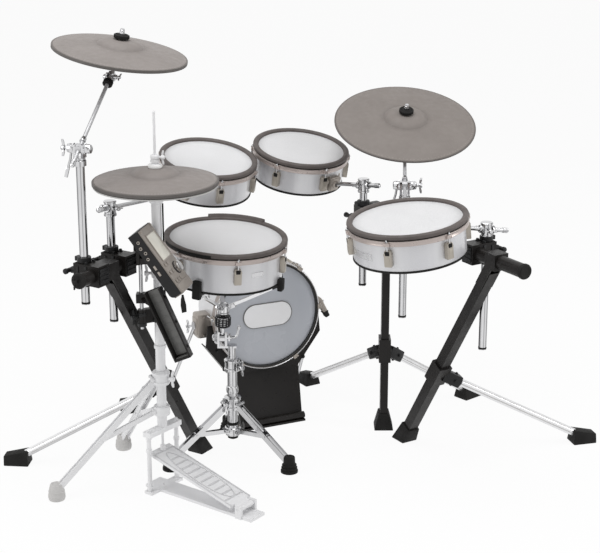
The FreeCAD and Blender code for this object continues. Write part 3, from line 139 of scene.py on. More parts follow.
drum_frames = {"snare": frame_of(*DRUMS["snare"][:2], (1, 0, 0))}
for name in ROD_CLAMP_HEIGHTS:
    reach = post_feet[name] - Vector(DRUMS[name][0])
    drum_frames[name] = frame_of(*DRUMS[name][:2], (reach.x, reach.y, 0))
cymbal_frames = {name: frame_of(*sizes[:2], (1, 0, 0)) for name, sizes in CYMBALS.items()}
KICK_CENTRE = (-105, 165, 332)
KICK_YAW = math.radians(25)
kick_frame = frame_of(KICK_CENTRE, (math.sin(KICK_YAW), -math.cos(KICK_YAW), 0),
                      (math.cos(KICK_YAW), math.sin(KICK_YAW), 0))
MODULE_CENTRE = (-356, -391, 677)
MODULE_YAW, MODULE_SLOPE = -13, 54
module_turn = spin(MODULE_YAW)
module_frame = at(*MODULE_CENTRE) @ module_turn @ turn_about("Y", MODULE_SLOPE)
TRAY_CENTRE = (-346, -402, 506)
TRAY_SLOPE = math.radians(66)
tray_frame = frame_of(TRAY_CENTRE, module_turn @ Vector((0, -1, 0)),
                      module_turn @ Vector((math.cos(TRAY_SLOPE), 0, -math.sin(TRAY_SLOPE))))
HIHAT_AXIS = Vector((-382, -300, 0))
PEDAL_YAW = -37
pedal_frame = at(*HIHAT_AXIS) @ spin(PEDAL_YAW)
# Heights in the snare's own frame, and the distance from the tilter to the stand's axis
SNARE_ARM_TOP = -123
BASKET_HUB = SNARE_ARM_TOP - 91
SNARE_PIVOT = SNARE_ARM_TOP - 177
STAND_OFFSET = 26
snare_pivot = drum_frames["snare"] @ Vector((0, 0, SNARE_PIVOT))
stand_axis = Vector((snare_pivot.x + STAND_OFFSET, snare_pivot.y, 0))


# Sockets of the colour mix node
MIX_FACTOR, MIX_FIRST, MIX_SECOND, MIX_RESULT = 0, 6, 7, 2


class Tree:
    """Node tree of a material or of the world."""

    def __init__(self, owner):
        owner.use_nodes = True
        self.tree = owner.node_tree

    def fill(self, node, socket, value):
        """Puts a number, a colour or another node's output into a socket."""
        if isinstance(value, bpy.types.NodeSocket):
            self.tree.links.new(value, node.inputs[socket])
        else:
            node.inputs[socket].default_value = value

    def node(self, kind, values=None, **settings):
        made = self.tree.nodes.new(kind)
        for key, value in settings.items():
            setattr(made, key, value)
        for socket, value in (values or {}).items():
            self.fill(made, socket, value)
        return made

    def math(self, operation, *values):
        return self.node("ShaderNodeMath", dict(enumerate(values)), operation=operation).outputs[0]

    def ramp(self, value, low, high, bottom=0.0, top=1.0):
        ends = {"Value": value, "From Min": low, "From Max": high, "To Min": bottom, "To Max": top}
        return self.node("ShaderNodeMapRange", ends).outputs["Result"]


class Material(Tree):
    """Procedural material built node by node around one Principled shader."""

    def __init__(self, name, colour, roughness, metallic=0.0):
        self.data = bpy.data.materials.new(name)
        super().__init__(self.data)
        self.shader = self.tree.nodes["Principled BSDF"]
        self.relief = None
        self.set("Base Color", (*colour, 1))
        self.set("Roughness", roughness)
        self.set("Metallic", metallic)

    def set(self, socket, value):
        self.fill(self.shader, socket, value)

    def coordinates(self, matrix=None):
        """Object coordinates in metres, brought into a local frame when one is given."""
        source = self.node("ShaderNodeTexCoord").outputs["Object"]
        if matrix is None:
            return source
        local = {"Vector": source, "Location": matrix.to_translation() * MM, "Rotation": matrix.to_euler()}
        return self.node("ShaderNodeMapping", local, vector_type="TEXTURE").outputs["Vector"]

    def noise(self, scale, detail, vector=None, stretch=None):
        vector = vector or self.coordinates()
        if stretch:
            vector = self.node("ShaderNodeMapping", {"Vector": vector, "Scale": stretch}).outputs["Vector"]
        values = {"Scale": scale, "Detail": detail, "Vector": vector}
        return self.node("ShaderNodeTexNoise", values).outputs["Fac"]

    def cloud(self, scale, detail, bottom=0.0, top=1.0):
        """Soft noise spread between two values."""
        return self.ramp(self.noise(scale, detail), 0.3, 0.7, bottom, top)

    def split(self, vector):
        return self.node("ShaderNodeSeparateXYZ", {"Vector": vector}).outputs[:]

    def distance(self, x, y):
        squares = [self.math("MULTIPLY", value, value) for value in (x, y)]
        return self.math("SQRT", self.math("ADD", *squares))

    def from_axis(self, matrix):
        """Distance from the Z axis of a local frame."""
        x, y, z = self.split(self.coordinates(matrix))
        return self.distance(x, y)

    def mix(self, fac, first, second):
        """Colour between two; each may be an output or three numbers."""
        first, second = [(*value, 1) if isinstance(value, tuple) else value for value in (first, second)]
        values = {MIX_FACTOR: fac, MIX_FIRST: first, MIX_SECOND: second}
        return self.node("ShaderNodeMix", values, data_type="RGBA").outputs[MIX_RESULT]

    def bands(self, stops):
        """Value along the normal's X part from (place, value) stops: a painted studio reflection for bright
        metal.
        """
        x, y, z = self.split(self.node("ShaderNodeNewGeometry").outputs["Normal"])
        lean = self.math("ADD", x, self.math("MULTIPLY", z, 0.35))
        made = self.node("ShaderNodeValToRGB", {"Fac": self.ramp(lean, -1.0, 1.0)})
        marks = made.color_ramp.elements
        for place, value in stops[1:-1]:
            marks.new(place).color = (value, value, value, 1)
        for mark, (place, value) in ((marks[0], stops[0]), (marks[-1], stops[-1])):
            mark.color = (value, value, value, 1)
        return made.outputs["Color"]

    def bump(self, height, distance):
        """Adds one layer of relief, its height in metres."""
        layer = {"Height": height, "Distance": distance}
        if self.relief is not None:
            layer["Normal"] = self.relief
        self.relief = self.node("ShaderNodeBump", layer).outputs["Normal"]
        self.set("Normal", self.relief)


def worn(name, colour, roughness, metallic=0.0, spread=0.12, grain=700, depth=0.00012, tint=0.1):
    """Material with mottled colour and gloss and a fine grain."""
    made = Material(name, colour, roughness, metallic)
    dark = tuple(value * (1 - tint) for value in colour)
    light = tuple(min(1, value * (1 + tint)) for value in colour)
    made.set("Base Color", made.mix(made.cloud(9, 4), dark, light))
    made.set("Roughness", made.cloud(45, 5, max(roughness - spread, 0.02), min(roughness + spread, 1)))
    made.bump(made.noise(grain, 2), depth)
    return made


def bright_metal(name, colour, roughness, stops, depth):
    """Polished metal with painted reflections: the dark and light bands of a studio painted into its colour.
    """
    made = Material(name, colour, roughness, 1.0)
    # Painted reflection: the colour runs from a dark copy to the full colour with the normal's direction
    shade = made.math("MULTIPLY", made.bands(stops), made.cloud(20, 4, 0.9, 1.0))
    made.set("Base Color", made.mix(shade, tuple(value * 0.06 for value in colour), colour))
    made.set("Roughness", made.cloud(60, 5, roughness * 0.6, roughness * 1.5))
    made.bump(made.noise(160, 2), depth)
    return made


# Stops of (place, brightness) from one side of a bar to the other, for painted reflection bands
POLISHED_REFLECTION_BANDS = ((0.0, 0.7), (0.10, 0.12), (0.17, 0.6), (0.30, 1.0), (0.50, 0.95), (0.57, 0.25), (0.63, 0.9),
                  (0.78, 1.0), (0.86, 0.15), (0.93, 0.65), (1.0, 0.5))
DRAWN_REFLECTION_BANDS = ((0.0, 0.75), (0.25, 0.9), (0.42, 1.0), (0.55, 0.55), (0.62, 1.0), (0.85, 0.95), (1.0, 0.7))
black_satin = worn("black_satin", (0.0108, 0.0094, 0.0088), 0.36, spread=0.10, grain=1100,
                   depth=0.00010, tint=0.25)
chrome = bright_metal("chrome", (0.72, 0.72, 0.73), 0.12, POLISHED_REFLECTION_BANDS, 0.00002)
rod_chrome = bright_metal("rod_chrome", (0.50, 0.50, 0.51), 0.42, DRAWN_REFLECTION_BANDS, 0.00002)
rod_chrome.set("Metallic", 0.55)
bright_aluminium = bright_metal("bright_aluminium", (0.84, 0.84, 0.85), 0.24, DRAWN_REFLECTION_BANDS, 0.00003)
dial_metal = bright_metal("dial_metal", (0.80, 0.79, 0.78), 0.16, POLISHED_REFLECTION_BANDS, 0.00002)
black_rubber = worn("black_rubber", (0.013, 0.0125, 0.012), 0.68, grain=1500, depth=0.00025, tint=0.3)
pale_steel = worn("pale_steel", (0.78, 0.78, 0.79), 0.40, grain=600, depth=0.00008, tint=0.04)
pale_shadow = worn("pale_shadow", (0.60, 0.60, 0.61), 0.50, grain=600, depth=0.00008, tint=0.05)
white_felt = worn("white_felt", (0.84, 0.84, 0.83), 0.95, spread=0.03, grain=2200, depth=0.0006, tint=0.05)
black_plastic = worn("black_plastic", (0.012, 0.012, 0.0125), 0.44, grain=1800, depth=0.00018, tint=0.2)
taupe_panel = worn("taupe_panel", (0.275, 0.245, 0.218), 0.40, 0.25, grain=1600, depth=0.00008, tint=0.10)
taupe_rim = worn("taupe_rim", (0.086, 0.072, 0.067), 0.62, grain=1500, depth=0.0002, tint=0.18)
white_patch = worn("white_patch", (0.80, 0.80, 0.81), 0.45, grain=1200, depth=0.00006, tint=0.04)
nickel = worn("nickel", (0.36, 0.325, 0.290), 0.36, 0.5, spread=0.06, grain=900, depth=0.00002, tint=0.04)
hoop_nickel = worn("hoop_nickel", (0.46, 0.400, 0.375), 0.30, 0.5, spread=0.05, grain=900,
                   depth=0.00002, tint=0.03)
lug_nickel = worn("lug_nickel", (0.40, 0.365, 0.315), 0.34, 0.45, spread=0.05, grain=900,
                  depth=0.00002, tint=0.04)
skirt_rubber = worn("skirt_rubber", (0.085, 0.077, 0.072), 0.66, grain=1500, depth=0.0002, tint=0.12)
pale_rubber = worn("pale_rubber", (0.56, 0.55, 0.54), 0.70, grain=1500, depth=0.0002, tint=0.06)
plate_metal = worn("plate_metal", (0.66, 0.66, 0.67), 0.26, 0.6, spread=0.06, grain=900,
                   depth=0.00004, tint=0.05)
tray_grey = worn("tray_grey", (0.135, 0.134, 0.128), 0.42, 0.2, spread=0.10, grain=700,
                 depth=0.00006, tint=0.25)
screen_glass = worn("screen_glass", (0.74, 0.72, 0.64), 0.16, spread=0.05, grain=400,
                    depth=0.00002, tint=0.05)
for made, level in ((black_satin, 0.22), (black_rubber, 0.15), (black_plastic, 0.25)):
    made.set("Specular IOR Level", level)


def assign(material, *names):
    for name in names:
        slots = nodes[name].data.materials
        slots.clear()
        slots.append(material.data)


assign(black_satin, "rack_bars", "rack_legs", "rack_brackets", "rack_clamps", "kick_stand", "module_bracket")
assign(chrome, "crash_post", "ride_post", "tom1_post", "tom2_post", "floor_tom_post", "tom1_arm", "tom2_arm",
       "floor_tom_arm", "snare_column", "snare_stand", "kick_spur_left", "kick_spur_right", "module_rod")
assign(rod_chrome, "crash_boom", "ride_boom")
assign(black_rubber, "rubber_feet", "crash_cap", "ride_cap", "hihat_lead")
assign(pale_steel, "hihat_stand", "hihat_frame", "hihat_pedal", "hihat_rod")
assign(bright_aluminium, "rack_outriggers")
assign(black_plastic, "module_body")
assign(taupe_panel, "module_panel")
assign(dial_metal, "module_dial")
assign(white_patch, "kick_patch")


EDGE_DOTS = 120
RING_PITCH = 0.0042


def cymbal_rubber(name, matrix, radius, dark, light, edge_and_bell_shade_colour):
    """Rubber with fine rings, a darker edge, a painted shade ring round the bell's foot and a row of small
    dots inside the edge.
    """
    made = Material("rubber_" + name, dark, 0.62)
    x, y, z = made.split(made.coordinates(matrix))
    distance = made.distance(x, y)
    edge = made.ramp(distance, radius - 0.0042, radius - 0.0032)
    colour = made.mix(edge, made.mix(made.cloud(14, 4), dark, light), edge_and_bell_shade_colour)
    # Painted shade: a darker ring round the foot of the bell, in the edge's colour
    inside, outside = made.ramp(distance, 0.050, 0.062), made.ramp(distance, 0.064, 0.078, 0.30, 0.0)
    colour = made.mix(made.math("MULTIPLY", inside, outside), colour, edge_and_bell_shade_colour)
    turns = made.math("FRACT", made.math("MULTIPLY", made.math("ARCTAN2", y, x), EDGE_DOTS / math.tau))
    across = made.math("MULTIPLY", made.math("SUBTRACT", turns, 0.5), math.tau * radius / EDGE_DOTS)
    along = made.math("SUBTRACT", distance, radius - 0.009)
    dot = made.ramp(made.distance(across, along), 0.0013, 0.0022, 1.0, 0.0)
    made.set("Base Color", made.mix(dot, colour, tuple(value * 1.2 for value in light)))
    made.bump(made.math("SINE", made.math("MULTIPLY", distance, math.tau / RING_PITCH)), 0.00006)
    made.bump(made.noise(1300, 3), 0.00022)
    made.bump(dot, 0.0004)
    made.set("Roughness", made.cloud(60, 4, 0.52, 0.72))
    return made


for name, (centre, tilt, radius) in CYMBALS.items():
    if name == "hihat_bottom":
        shades = (0.58, 0.565, 0.55), (0.62, 0.605, 0.59), (0.50, 0.49, 0.48)
    elif name == "ride":
        shades = (0.190, 0.168, 0.154), (0.208, 0.185, 0.170), (0.110, 0.096, 0.088)
    else:
        shades = (0.215, 0.193, 0.181), (0.236, 0.212, 0.200), (0.120, 0.106, 0.098)
    assign(cymbal_rubber(name, cymbal_frames[name], radius * MM, *shades), name + "_cymbal")


THREAD_PITCH = 0.0016


def mesh_head(name, matrix, radius):
    """White mesh: two sets of threads, a soft grey toward the rim."""
    made = Material("mesh_" + name, (0.78, 0.78, 0.79), 0.6)
    x, y, z = made.split(made.coordinates(matrix))
    waves = [made.math("SINE", made.math("MULTIPLY", value, math.tau / THREAD_PITCH)) for value in (x, y)]
    weave = made.math("MULTIPLY", *waves)
    colour = made.mix(made.cloud(6, 3), (0.76, 0.76, 0.77), (0.82, 0.82, 0.83))
    colour = made.mix(made.ramp(made.distance(x, y), radius * 0.80, radius), colour, (0.66, 0.66, 0.67))
    holes = made.ramp(weave, 0.2, 1.0, 0.0, 0.35)
    made.set("Base Color", made.mix(holes, colour, (0.45, 0.45, 0.46)))
    made.bump(weave, 0.0002)
    made.set("Sheen Weight", 0.15)
    return made


def silver_shell(name, matrix):
    """Pale silver wrap with a fine flake and soft upright streaks."""
    made = Material("shell_" + name, (0.60, 0.60, 0.62), 0.30)
    flake = made.ramp(made.noise(2600, 1), 0.35, 0.65)
    streak = made.noise(14, 3, made.coordinates(matrix), (1, 1, 0.05))
    colour = made.mix(flake, (0.56, 0.56, 0.58), (0.66, 0.66, 0.68))
    made.set("Base Color", made.mix(made.ramp(streak, 0.40, 0.62, 0.0, 0.7), colour, (0.72, 0.72, 0.73)))
    made.set("Metallic", 0.25)
    made.set("Coat Weight", 0.4)
    made.set("Coat Roughness", 0.15)
    made.bump(made.noise(240, 2), 0.00005)
    return made


def kick_hoop_paint(matrix):
    """Taupe hoop with a black inner part."""
    made = Material("kick_hoop_paint", (0.30, 0.265, 0.245), 0.34, 0.3)
    inner = made.ramp(made.from_axis(matrix), 0.1608, 0.1602)
    taupe = made.mix(made.cloud(20, 4), (0.28, 0.247, 0.228), (0.32, 0.283, 0.262))
    made.set("Base Color", made.mix(inner, taupe, (0.012, 0.0115, 0.011)))
    made.set("Roughness", made.cloud(80, 4, 0.28, 0.42))
    made.bump(made.noise(900, 2), 0.00003)
    return made


def basket_metal(matrix, tip_start):
    """Chrome arms, with black rubber where the tips hold the shell."""
    made = bright_metal("basket_metal", (0.82, 0.82, 0.83), 0.07, POLISHED_REFLECTION_BANDS, 0.00002)
    tip = made.ramp(made.from_axis(matrix), tip_start - 0.0005, tip_start + 0.0005)
    polished, glossy = [made.shader.inputs[name].links[0].from_socket for name in ("Base Color", "Roughness")]
    made.set("Base Color", made.mix(tip, polished, (0.013, 0.0125, 0.012)))
    made.set("Metallic", made.ramp(tip, 0.0, 1.0, 1.0, 0.0))
    made.set("Roughness", made.math("ADD", glossy, made.math("MULTIPLY", tip, 0.6)))
    return made


for name, (centre, tilt, radius, depth) in DRUMS.items():
    place = drum_frames[name]
    assign(mesh_head(name, place, (radius - HOOP_MARGIN) * MM), name + "_head")
    assign(silver_shell(name, place), name + "_shell")
assign(silver_shell("kick", kick_frame), "kick_shell")
assign(lug_nickel, "kick_lugs")
assign(kick_hoop_paint(kick_frame), "kick_hoop")
assign(basket_metal(drum_frames["snare"], 0.1425), "snare_basket")


def kick_film(matrix):
    """Grey-blue film with a soft cloud and a few faint curved marks."""
    made = Material("kick_film", (0.41, 0.43, 0.475), 0.24)
    place = made.coordinates(matrix)
    cloud = made.noise(5, 4, place)
    colour = made.mix(made.ramp(cloud, 0.3, 0.7), (0.385, 0.402, 0.440), (0.440, 0.456, 0.492))
    marks = made.noise(7, 2, place, (1.0, 2.2, 1.0))
    ridge = made.ramp(made.math("ABSOLUTE", made.math("SUBTRACT", marks, 0.5)), 0.0, 0.006, 1.0, 0.0)
    patchy = made.ramp(made.noise(9, 3, place), 0.54, 0.64)
    marked = made.math("MULTIPLY", made.math("MULTIPLY", ridge, patchy), 0.3)
    made.set("Base Color", made.mix(marked, colour, (0.62, 0.64, 0.67)))
    made.set("Roughness", made.ramp(cloud, 0.3, 0.7, 0.18, 0.30))
    made.set("Coat Weight", 0.4)
    made.set("Coat Roughness", 0.10)
    made.bump(cloud, 0.0006)
    return made


assign(kick_film(kick_frame), "kick_head")


SHARP_ANGLE = math.radians(38)


class Piece:
    """Mesh put together in millimetres from turned, swept and boxed forms."""

    def __init__(self, name):
        self.name = name
        self.mesh = bmesh.new()

    def ring(self, place, radius, height, steps):
        if radius == 0:
            return [self.mesh.verts.new(place @ Vector((0, 0, height)))]
        made = []
        for index in range(steps):
            turn = math.tau * index / steps
            corner = Vector((radius * math.cos(turn), radius * math.sin(turn), height))
            made.append(self.mesh.verts.new(place @ corner))
        return made

    def skin(self, rings, closed=False):
        pairs = list(zip(rings, rings[1:]))
        if closed:
            pairs.append((rings[-1], rings[0]))
        for low, high in pairs:
            for index in range(max(len(low), len(high))):
                after = index + 1
                corners = (low[index % len(low)], low[after % len(low)], high[after % len(high)],
                           high[index % len(high)])
                face = list(dict.fromkeys(corners))
                if len(face) > 2:
                    self.mesh.faces.new(face)

    def turned(self, place, profile, steps=40, closed=False):
        """Profile of (radius, height) points about the Z axis of place."""
        self.skin([self.ring(place, radius, height, steps) for radius, height in profile], closed)

    def band(self, place, inner, outer, low, high, steps=40, chamfer=1.5):
        """Ring round a pipe, with broken edges."""
        profile = [(inner, low), (outer, low + chamfer), (outer, high - chamfer), (inner, high)]
        self.turned(place, profile, steps)

    def arc(self, place, start, end, steps, section, closed=False):
        """Section of (radius, height) corners carried about Z between two angles, with flat ends."""
        rows = []
        for step in range(steps + 1):
            spot = place @ spin(start + (end - start) * step / steps)
            corners = [spot @ Vector((radius, 0, height)) for radius, height in section]
            rows.append([self.mesh.verts.new(corner) for corner in corners])
        if closed:
            self.skin(rows)
        else:
            for first, second in zip(rows, rows[1:]):
                for index in range(len(section) - 1):
                    self.mesh.faces.new((first[index], second[index], second[index + 1], first[index + 1]))
        for row in (rows[0], rows[-1]):
            self.mesh.faces.new(row)

    def soften(self, edges, bevel):
        if bevel:
            bmesh.ops.bevel(self.mesh, geom=list(edges), offset=bevel, segments=2, profile=0.6,
                            affect="EDGES")

    def box(self, place, size, bevel=1.0):
        made = bmesh.ops.create_cube(self.mesh, size=1, matrix=place @ Matrix.Diagonal((*size, 1)))
        self.soften({edge for vert in made["verts"] for edge in vert.link_edges}, bevel)

    def knurl(self, place, step, reach, height, size, bevel):
        """Row of small boxes round Z."""
        for turn in range(0, 360, step):
            self.box(place @ spin(turn) @ at(reach, 0, height), size, bevel)

    def prism(self, place, outline, thickness, bevel=0.6):
        """Outline in X and Y of place, thick along Z both ways."""
        low = [self.mesh.verts.new(place @ Vector((x, y, -thickness / 2))) for x, y in outline]
        high = [self.mesh.verts.new(place @ Vector((x, y, thickness / 2))) for x, y in outline]
        caps = [self.mesh.faces.new(low), self.mesh.faces.new(high)]
        self.skin([low, high])
        self.soften({edge for cap in caps for edge in cap.edges}, bevel)

    def tube(self, points, radius, steps=16):
        """Round bar along points, with flat ends."""
        points = [Vector(point) for point in points]
        side = (points[1] - points[0]).orthogonal().normalized()
        rings = []
        for index, point in enumerate(points):
            way = (points[min(index + 1, len(points) - 1)] - points[max(index - 1, 0)]).normalized()
            side = (side - way * side.dot(way)).normalized()
            rings.append(self.ring(frame_of(point, way, side), radius, 0, steps))
        self.skin(rings)
        self.mesh.faces.new(rings[0])
        self.mesh.faces.new(rings[-1])

    def done(self, body, material, slot, *replaced):
        bmesh.ops.recalc_face_normals(self.mesh, faces=self.mesh.faces)
        data = bpy.data.meshes.new(self.name)
        self.mesh.to_mesh(data)
        self.mesh.free()
        data.transform(Matrix.Scale(MM, 4))
        data.shade_smooth()
        data.set_sharp_from_angle(angle=SHARP_ANGLE)
        data.materials.append(material.data)
        made = placed(self.name, data)
        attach(made, body)
        if replaced:
            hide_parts(*replaced)


WING_OUTLINE = ((5, 8.5), (15, 9), (23, 12), (23, 17), (15, 16.5), (6, 14.5))


def wing_bolt(piece, base, axis, across, scale=1.0):
    """Hub on a stem with two wings."""
    place = frame_of(base, axis, across) @ Matrix.Scale(scale, 4)
    piece.turned(place, [(0, 0), (4, 0), (4, 7), (7.5, 8.5), (7.5, 15), (5.5, 18), (0, 18.5)], 24)
    blade = place @ turn_about("X", 90)
    for side in (-1, 1):
        piece.prism(blade, [(side * x, y) for x, y in WING_OUTLINE], 4, 1.2)


def hex_bolt(piece, base, axis, radius=5.0, height=4.0):
    """Six-sided head on a washer."""
    place = frame_of(base, axis, Vector(axis).orthogonal())
    piece.turned(place, [(0, 0), (radius + 2, 0), (radius + 2, 1.2), (0, 1.2)], 24)
    piece.turned(place, [(radius, 1.2), (radius, 1.2 + height), (radius - 1, 2 + height), (0, 2 + height)], 6)


def toothed_disc(piece, base, axis, radius, thickness, teeth=30):
    """Disc whose edge has small teeth."""
    outline = []
    for index in range(teeth * 2):
        reach = radius - (index % 2) * 1.3
        turn = math.tau * index / (teeth * 2)
        outline.append((reach * math.cos(turn), reach * math.sin(turn)))
    place = frame_of(base, axis, Vector(axis).orthogonal())
    piece.prism(place @ at(0, 0, thickness / 2), outline, thickness, 0.5)


GRIP_RING = 4


def ringed_end(start, crest, core, tip, rings):
    """Profile of a rod's end with grip rings on it."""
    profile = [(start, 0)]
    for step in range(rings):
        low = step * GRIP_RING
        profile += [(crest, low + 0.6), (crest, low + 2.8), (core, low + 3.4)]
    end = rings * GRIP_RING
    return profile + [(core, end), (tip, end + 2), (0, end + 2.4)]


def leg_pins(piece, place, angles, levels):
    """Hinge pins of a stand's legs at (height, reach) levels, with a bolt head at each end."""
    for angle in angles:
        spot = place @ spin(angle)
        for height, reach in levels:
            piece.tube([spot @ Vector((reach, edge * 12.5, height)) for edge in (-1, 1)], 4.2)
            for edge in (-1, 1):
                head = spot @ Vector((reach, edge * 12.4, height))
                hex_bolt(piece, head, toward(spot, 0, edge, 0), 3.4, 2.4)


# Plugs, lock rings and clamp details of the posts
CLAMP_TOP = BAR_HEIGHT + 27.4
LOCK_HEIGHT = 14
CLAMP_END = 54


def post_fittings(name, bar, along, side, bottom):
    post = post_feet[name]
    plug = Piece(name + "_post_plug")
    plug.turned(at(*post) @ at(0, 0, bottom),
                [(0, -6.4), (8.5, -6.4), (10.8, -5.2), (11.3, -3.5), (11.3, 0.6), (11.05, 1)], 32)
    plug.done(name + "_stand", black_rubber, "black_rubber")
    lock = Piece(name + "_lock_ring")
    lock.turned(at(post.x, post.y, CLAMP_TOP),
                [(11.3, 0), (17, 0), (18, 1), (18, LOCK_HEIGHT - 1), (17, LOCK_HEIGHT), (11.3, LOCK_HEIGHT)],
                closed=True)
    outward = bar.out * side
    ear = post + outward * 20 + UP * (CLAMP_TOP + LOCK_HEIGHT / 2)
    lock.box(frame_of(ear, UP, outward), (9, 16, 12), 1.5)
    hex_bolt(lock, ear + bar.run * 8, bar.run, 3.2, 3)
    lock.done("frame", black_plastic, "black_satin")
    clamp = Piece(name + "_clamp_details")
    for offset in (-14, 14):
        for height in (-1, 1):
            spot = bar.at(along + offset, side * 18) + UP * (27 * height)
            hex_bolt(clamp, spot, UP * height, 4.2, 4)
    plate = bar.at(along, -27.2 * side)
    clamp.box(frame_of(plate, bar.out, UP), (40, 34, 3), 1.2)
    for height in (-11, 0, 11):
        clamp.box(frame_of(plate - bar.out * (side * 1.6) + UP * height, bar.out, UP), (4, 32, 3.4), 1.2)
    for edge in (-1, 1):
        clamp.box(frame_of(bar.at(along + edge * 22.6, 14 * side), bar.run, UP), (46, 9, 3), 1.2)
        clamp.box(frame_of(bar.at(along + edge * 22.6, 40 * side), bar.run, UP), (40, 6, 3), 1.2)
    clamp.done("frame", black_plastic, "black_satin")
    knob = Piece(name + "_clamp_knob")
    tip = bar.at(along, (CLAMP_END + 26) * side)
    handle = [(6.2, 0), (7.4, 1), (7.4, 3), (6.6, 4), (7.4, 5), (7.4, 7), (6.4, 8.5), (4, 9.5), (0, 9.8)]
    for end in (-1, 1):
        knob.turned(frame_of(tip + bar.run * (end * 17), bar.run * end, UP), handle, 24)
    knob.turned(frame_of(bar.at(along, CLAMP_END * side), outward, UP),
                [(0, 0), (10, 0), (10, 3), (7, 5), (7, 16), (9, 19), (9, 23), (0, 23)], 24)
    knob.done("frame", black_plastic, "black_satin")


for name, settings in POSTS.items():
    post_fittings(name, *settings)


# Caps on the bars' ends
CAP_PROFILE = ((19.05, -0.4), (20.6, 0), (20.8, 1), (20.8, 5), (19.6, 8), (17, 9.3), (14, 9.6), (13, 9.1),
               (0, 9.1))


def bar_cap(name, point, outward, bolted):
    cap = Piece(name)
    cap.turned(frame_of(point, outward, UP), CAP_PROFILE, 48)
    if bolted:
        wing_bolt(cap, point + outward * 9.5, outward, UP, 0.8)
    cap.done("frame", black_rubber, "black_rubber")


bar_cap("right_bar_front_cap", right_bar.start, right_bar.run * -1, False)
bar_cap("right_bar_rear_cap", right_bar.at(right_bar.length), right_bar.run, False)
bar_cap("left_bar_front_cap", left_bar.start, left_bar.run * -1, True)
bar_cap("left_bar_rear_cap", left_bar.at(left_bar.length), left_bar.run, False)


# Rod clamps that carry the toms
RIM_HEIGHT = 10
ROD_TAIL = 46


def rod_clamp(name):
    radius, depth = DRUMS[name][2:]
    clamp = post_feet[name] + UP * ROD_CLAMP_HEIGHTS[name]
    level = -(RIM_HEIGHT + depth) / 2 - 14
    grip = drum_frames[name] @ Vector((radius + 1.2, 0, level))
    way = (grip - clamp).normalized()
    across = way.cross(UP).normalized()
    piece = Piece(name + "_rod_clamp")
    place = at(*clamp)
    piece.band(place, 15.2, 16.6, -21, -14, chamfer=1)
    piece.turned(place, [(15.2, 14), (16.6, 15), (16.6, 18), (15, 19.4), (0, 20)])
    for end in (-1, 1):
        collar = frame_of(clamp + way * (end * 14), way * end, UP)
        piece.turned(collar, [(7, 0), (11, 0), (11, 6), (9.5, 8), (6.3, 8)], 32)
    for side in (1, -1):
        wing_bolt(piece, clamp + across * (side * 14.5), across * side, way, 0.8)
    piece.done(name + "_stand", chrome, "chrome")
    tail = Piece(name + "_rod_end")
    tail.turned(frame_of(clamp - way * ROD_TAIL, way * -1, UP), ringed_end(6, 7.2, 6.3, 4, 4), 24)
    tail.done(name, chrome, "chrome")
    mount = Piece(name + "_mount_bolts")
    seat = drum_frames[name] @ at(radius - HOOP_MARGIN + 0.2, 0, level)
    mount.box(seat @ at(8, 0, 0), (17.5, 36, 42), 3)
    mount.box(seat @ at(17.5, 0, 0), (3, 30, 34), 1.4)
    mount.turned(seat @ at(17, 0, 0) @ turn_about("Y", 90), [(0, 0), (11, 0), (11, 5), (9, 7), (6.4, 7)], 28)
    for side in (-1, 1):
        wing_bolt(mount, seat @ Vector((8, side * 17.5, 8)), toward(seat, 0, side, 0), UP, 0.7)
    mount.done(name, nickel, "taupe_nickel")


for name in ROD_CLAMP_HEIGHTS:
    rod_clamp(name)


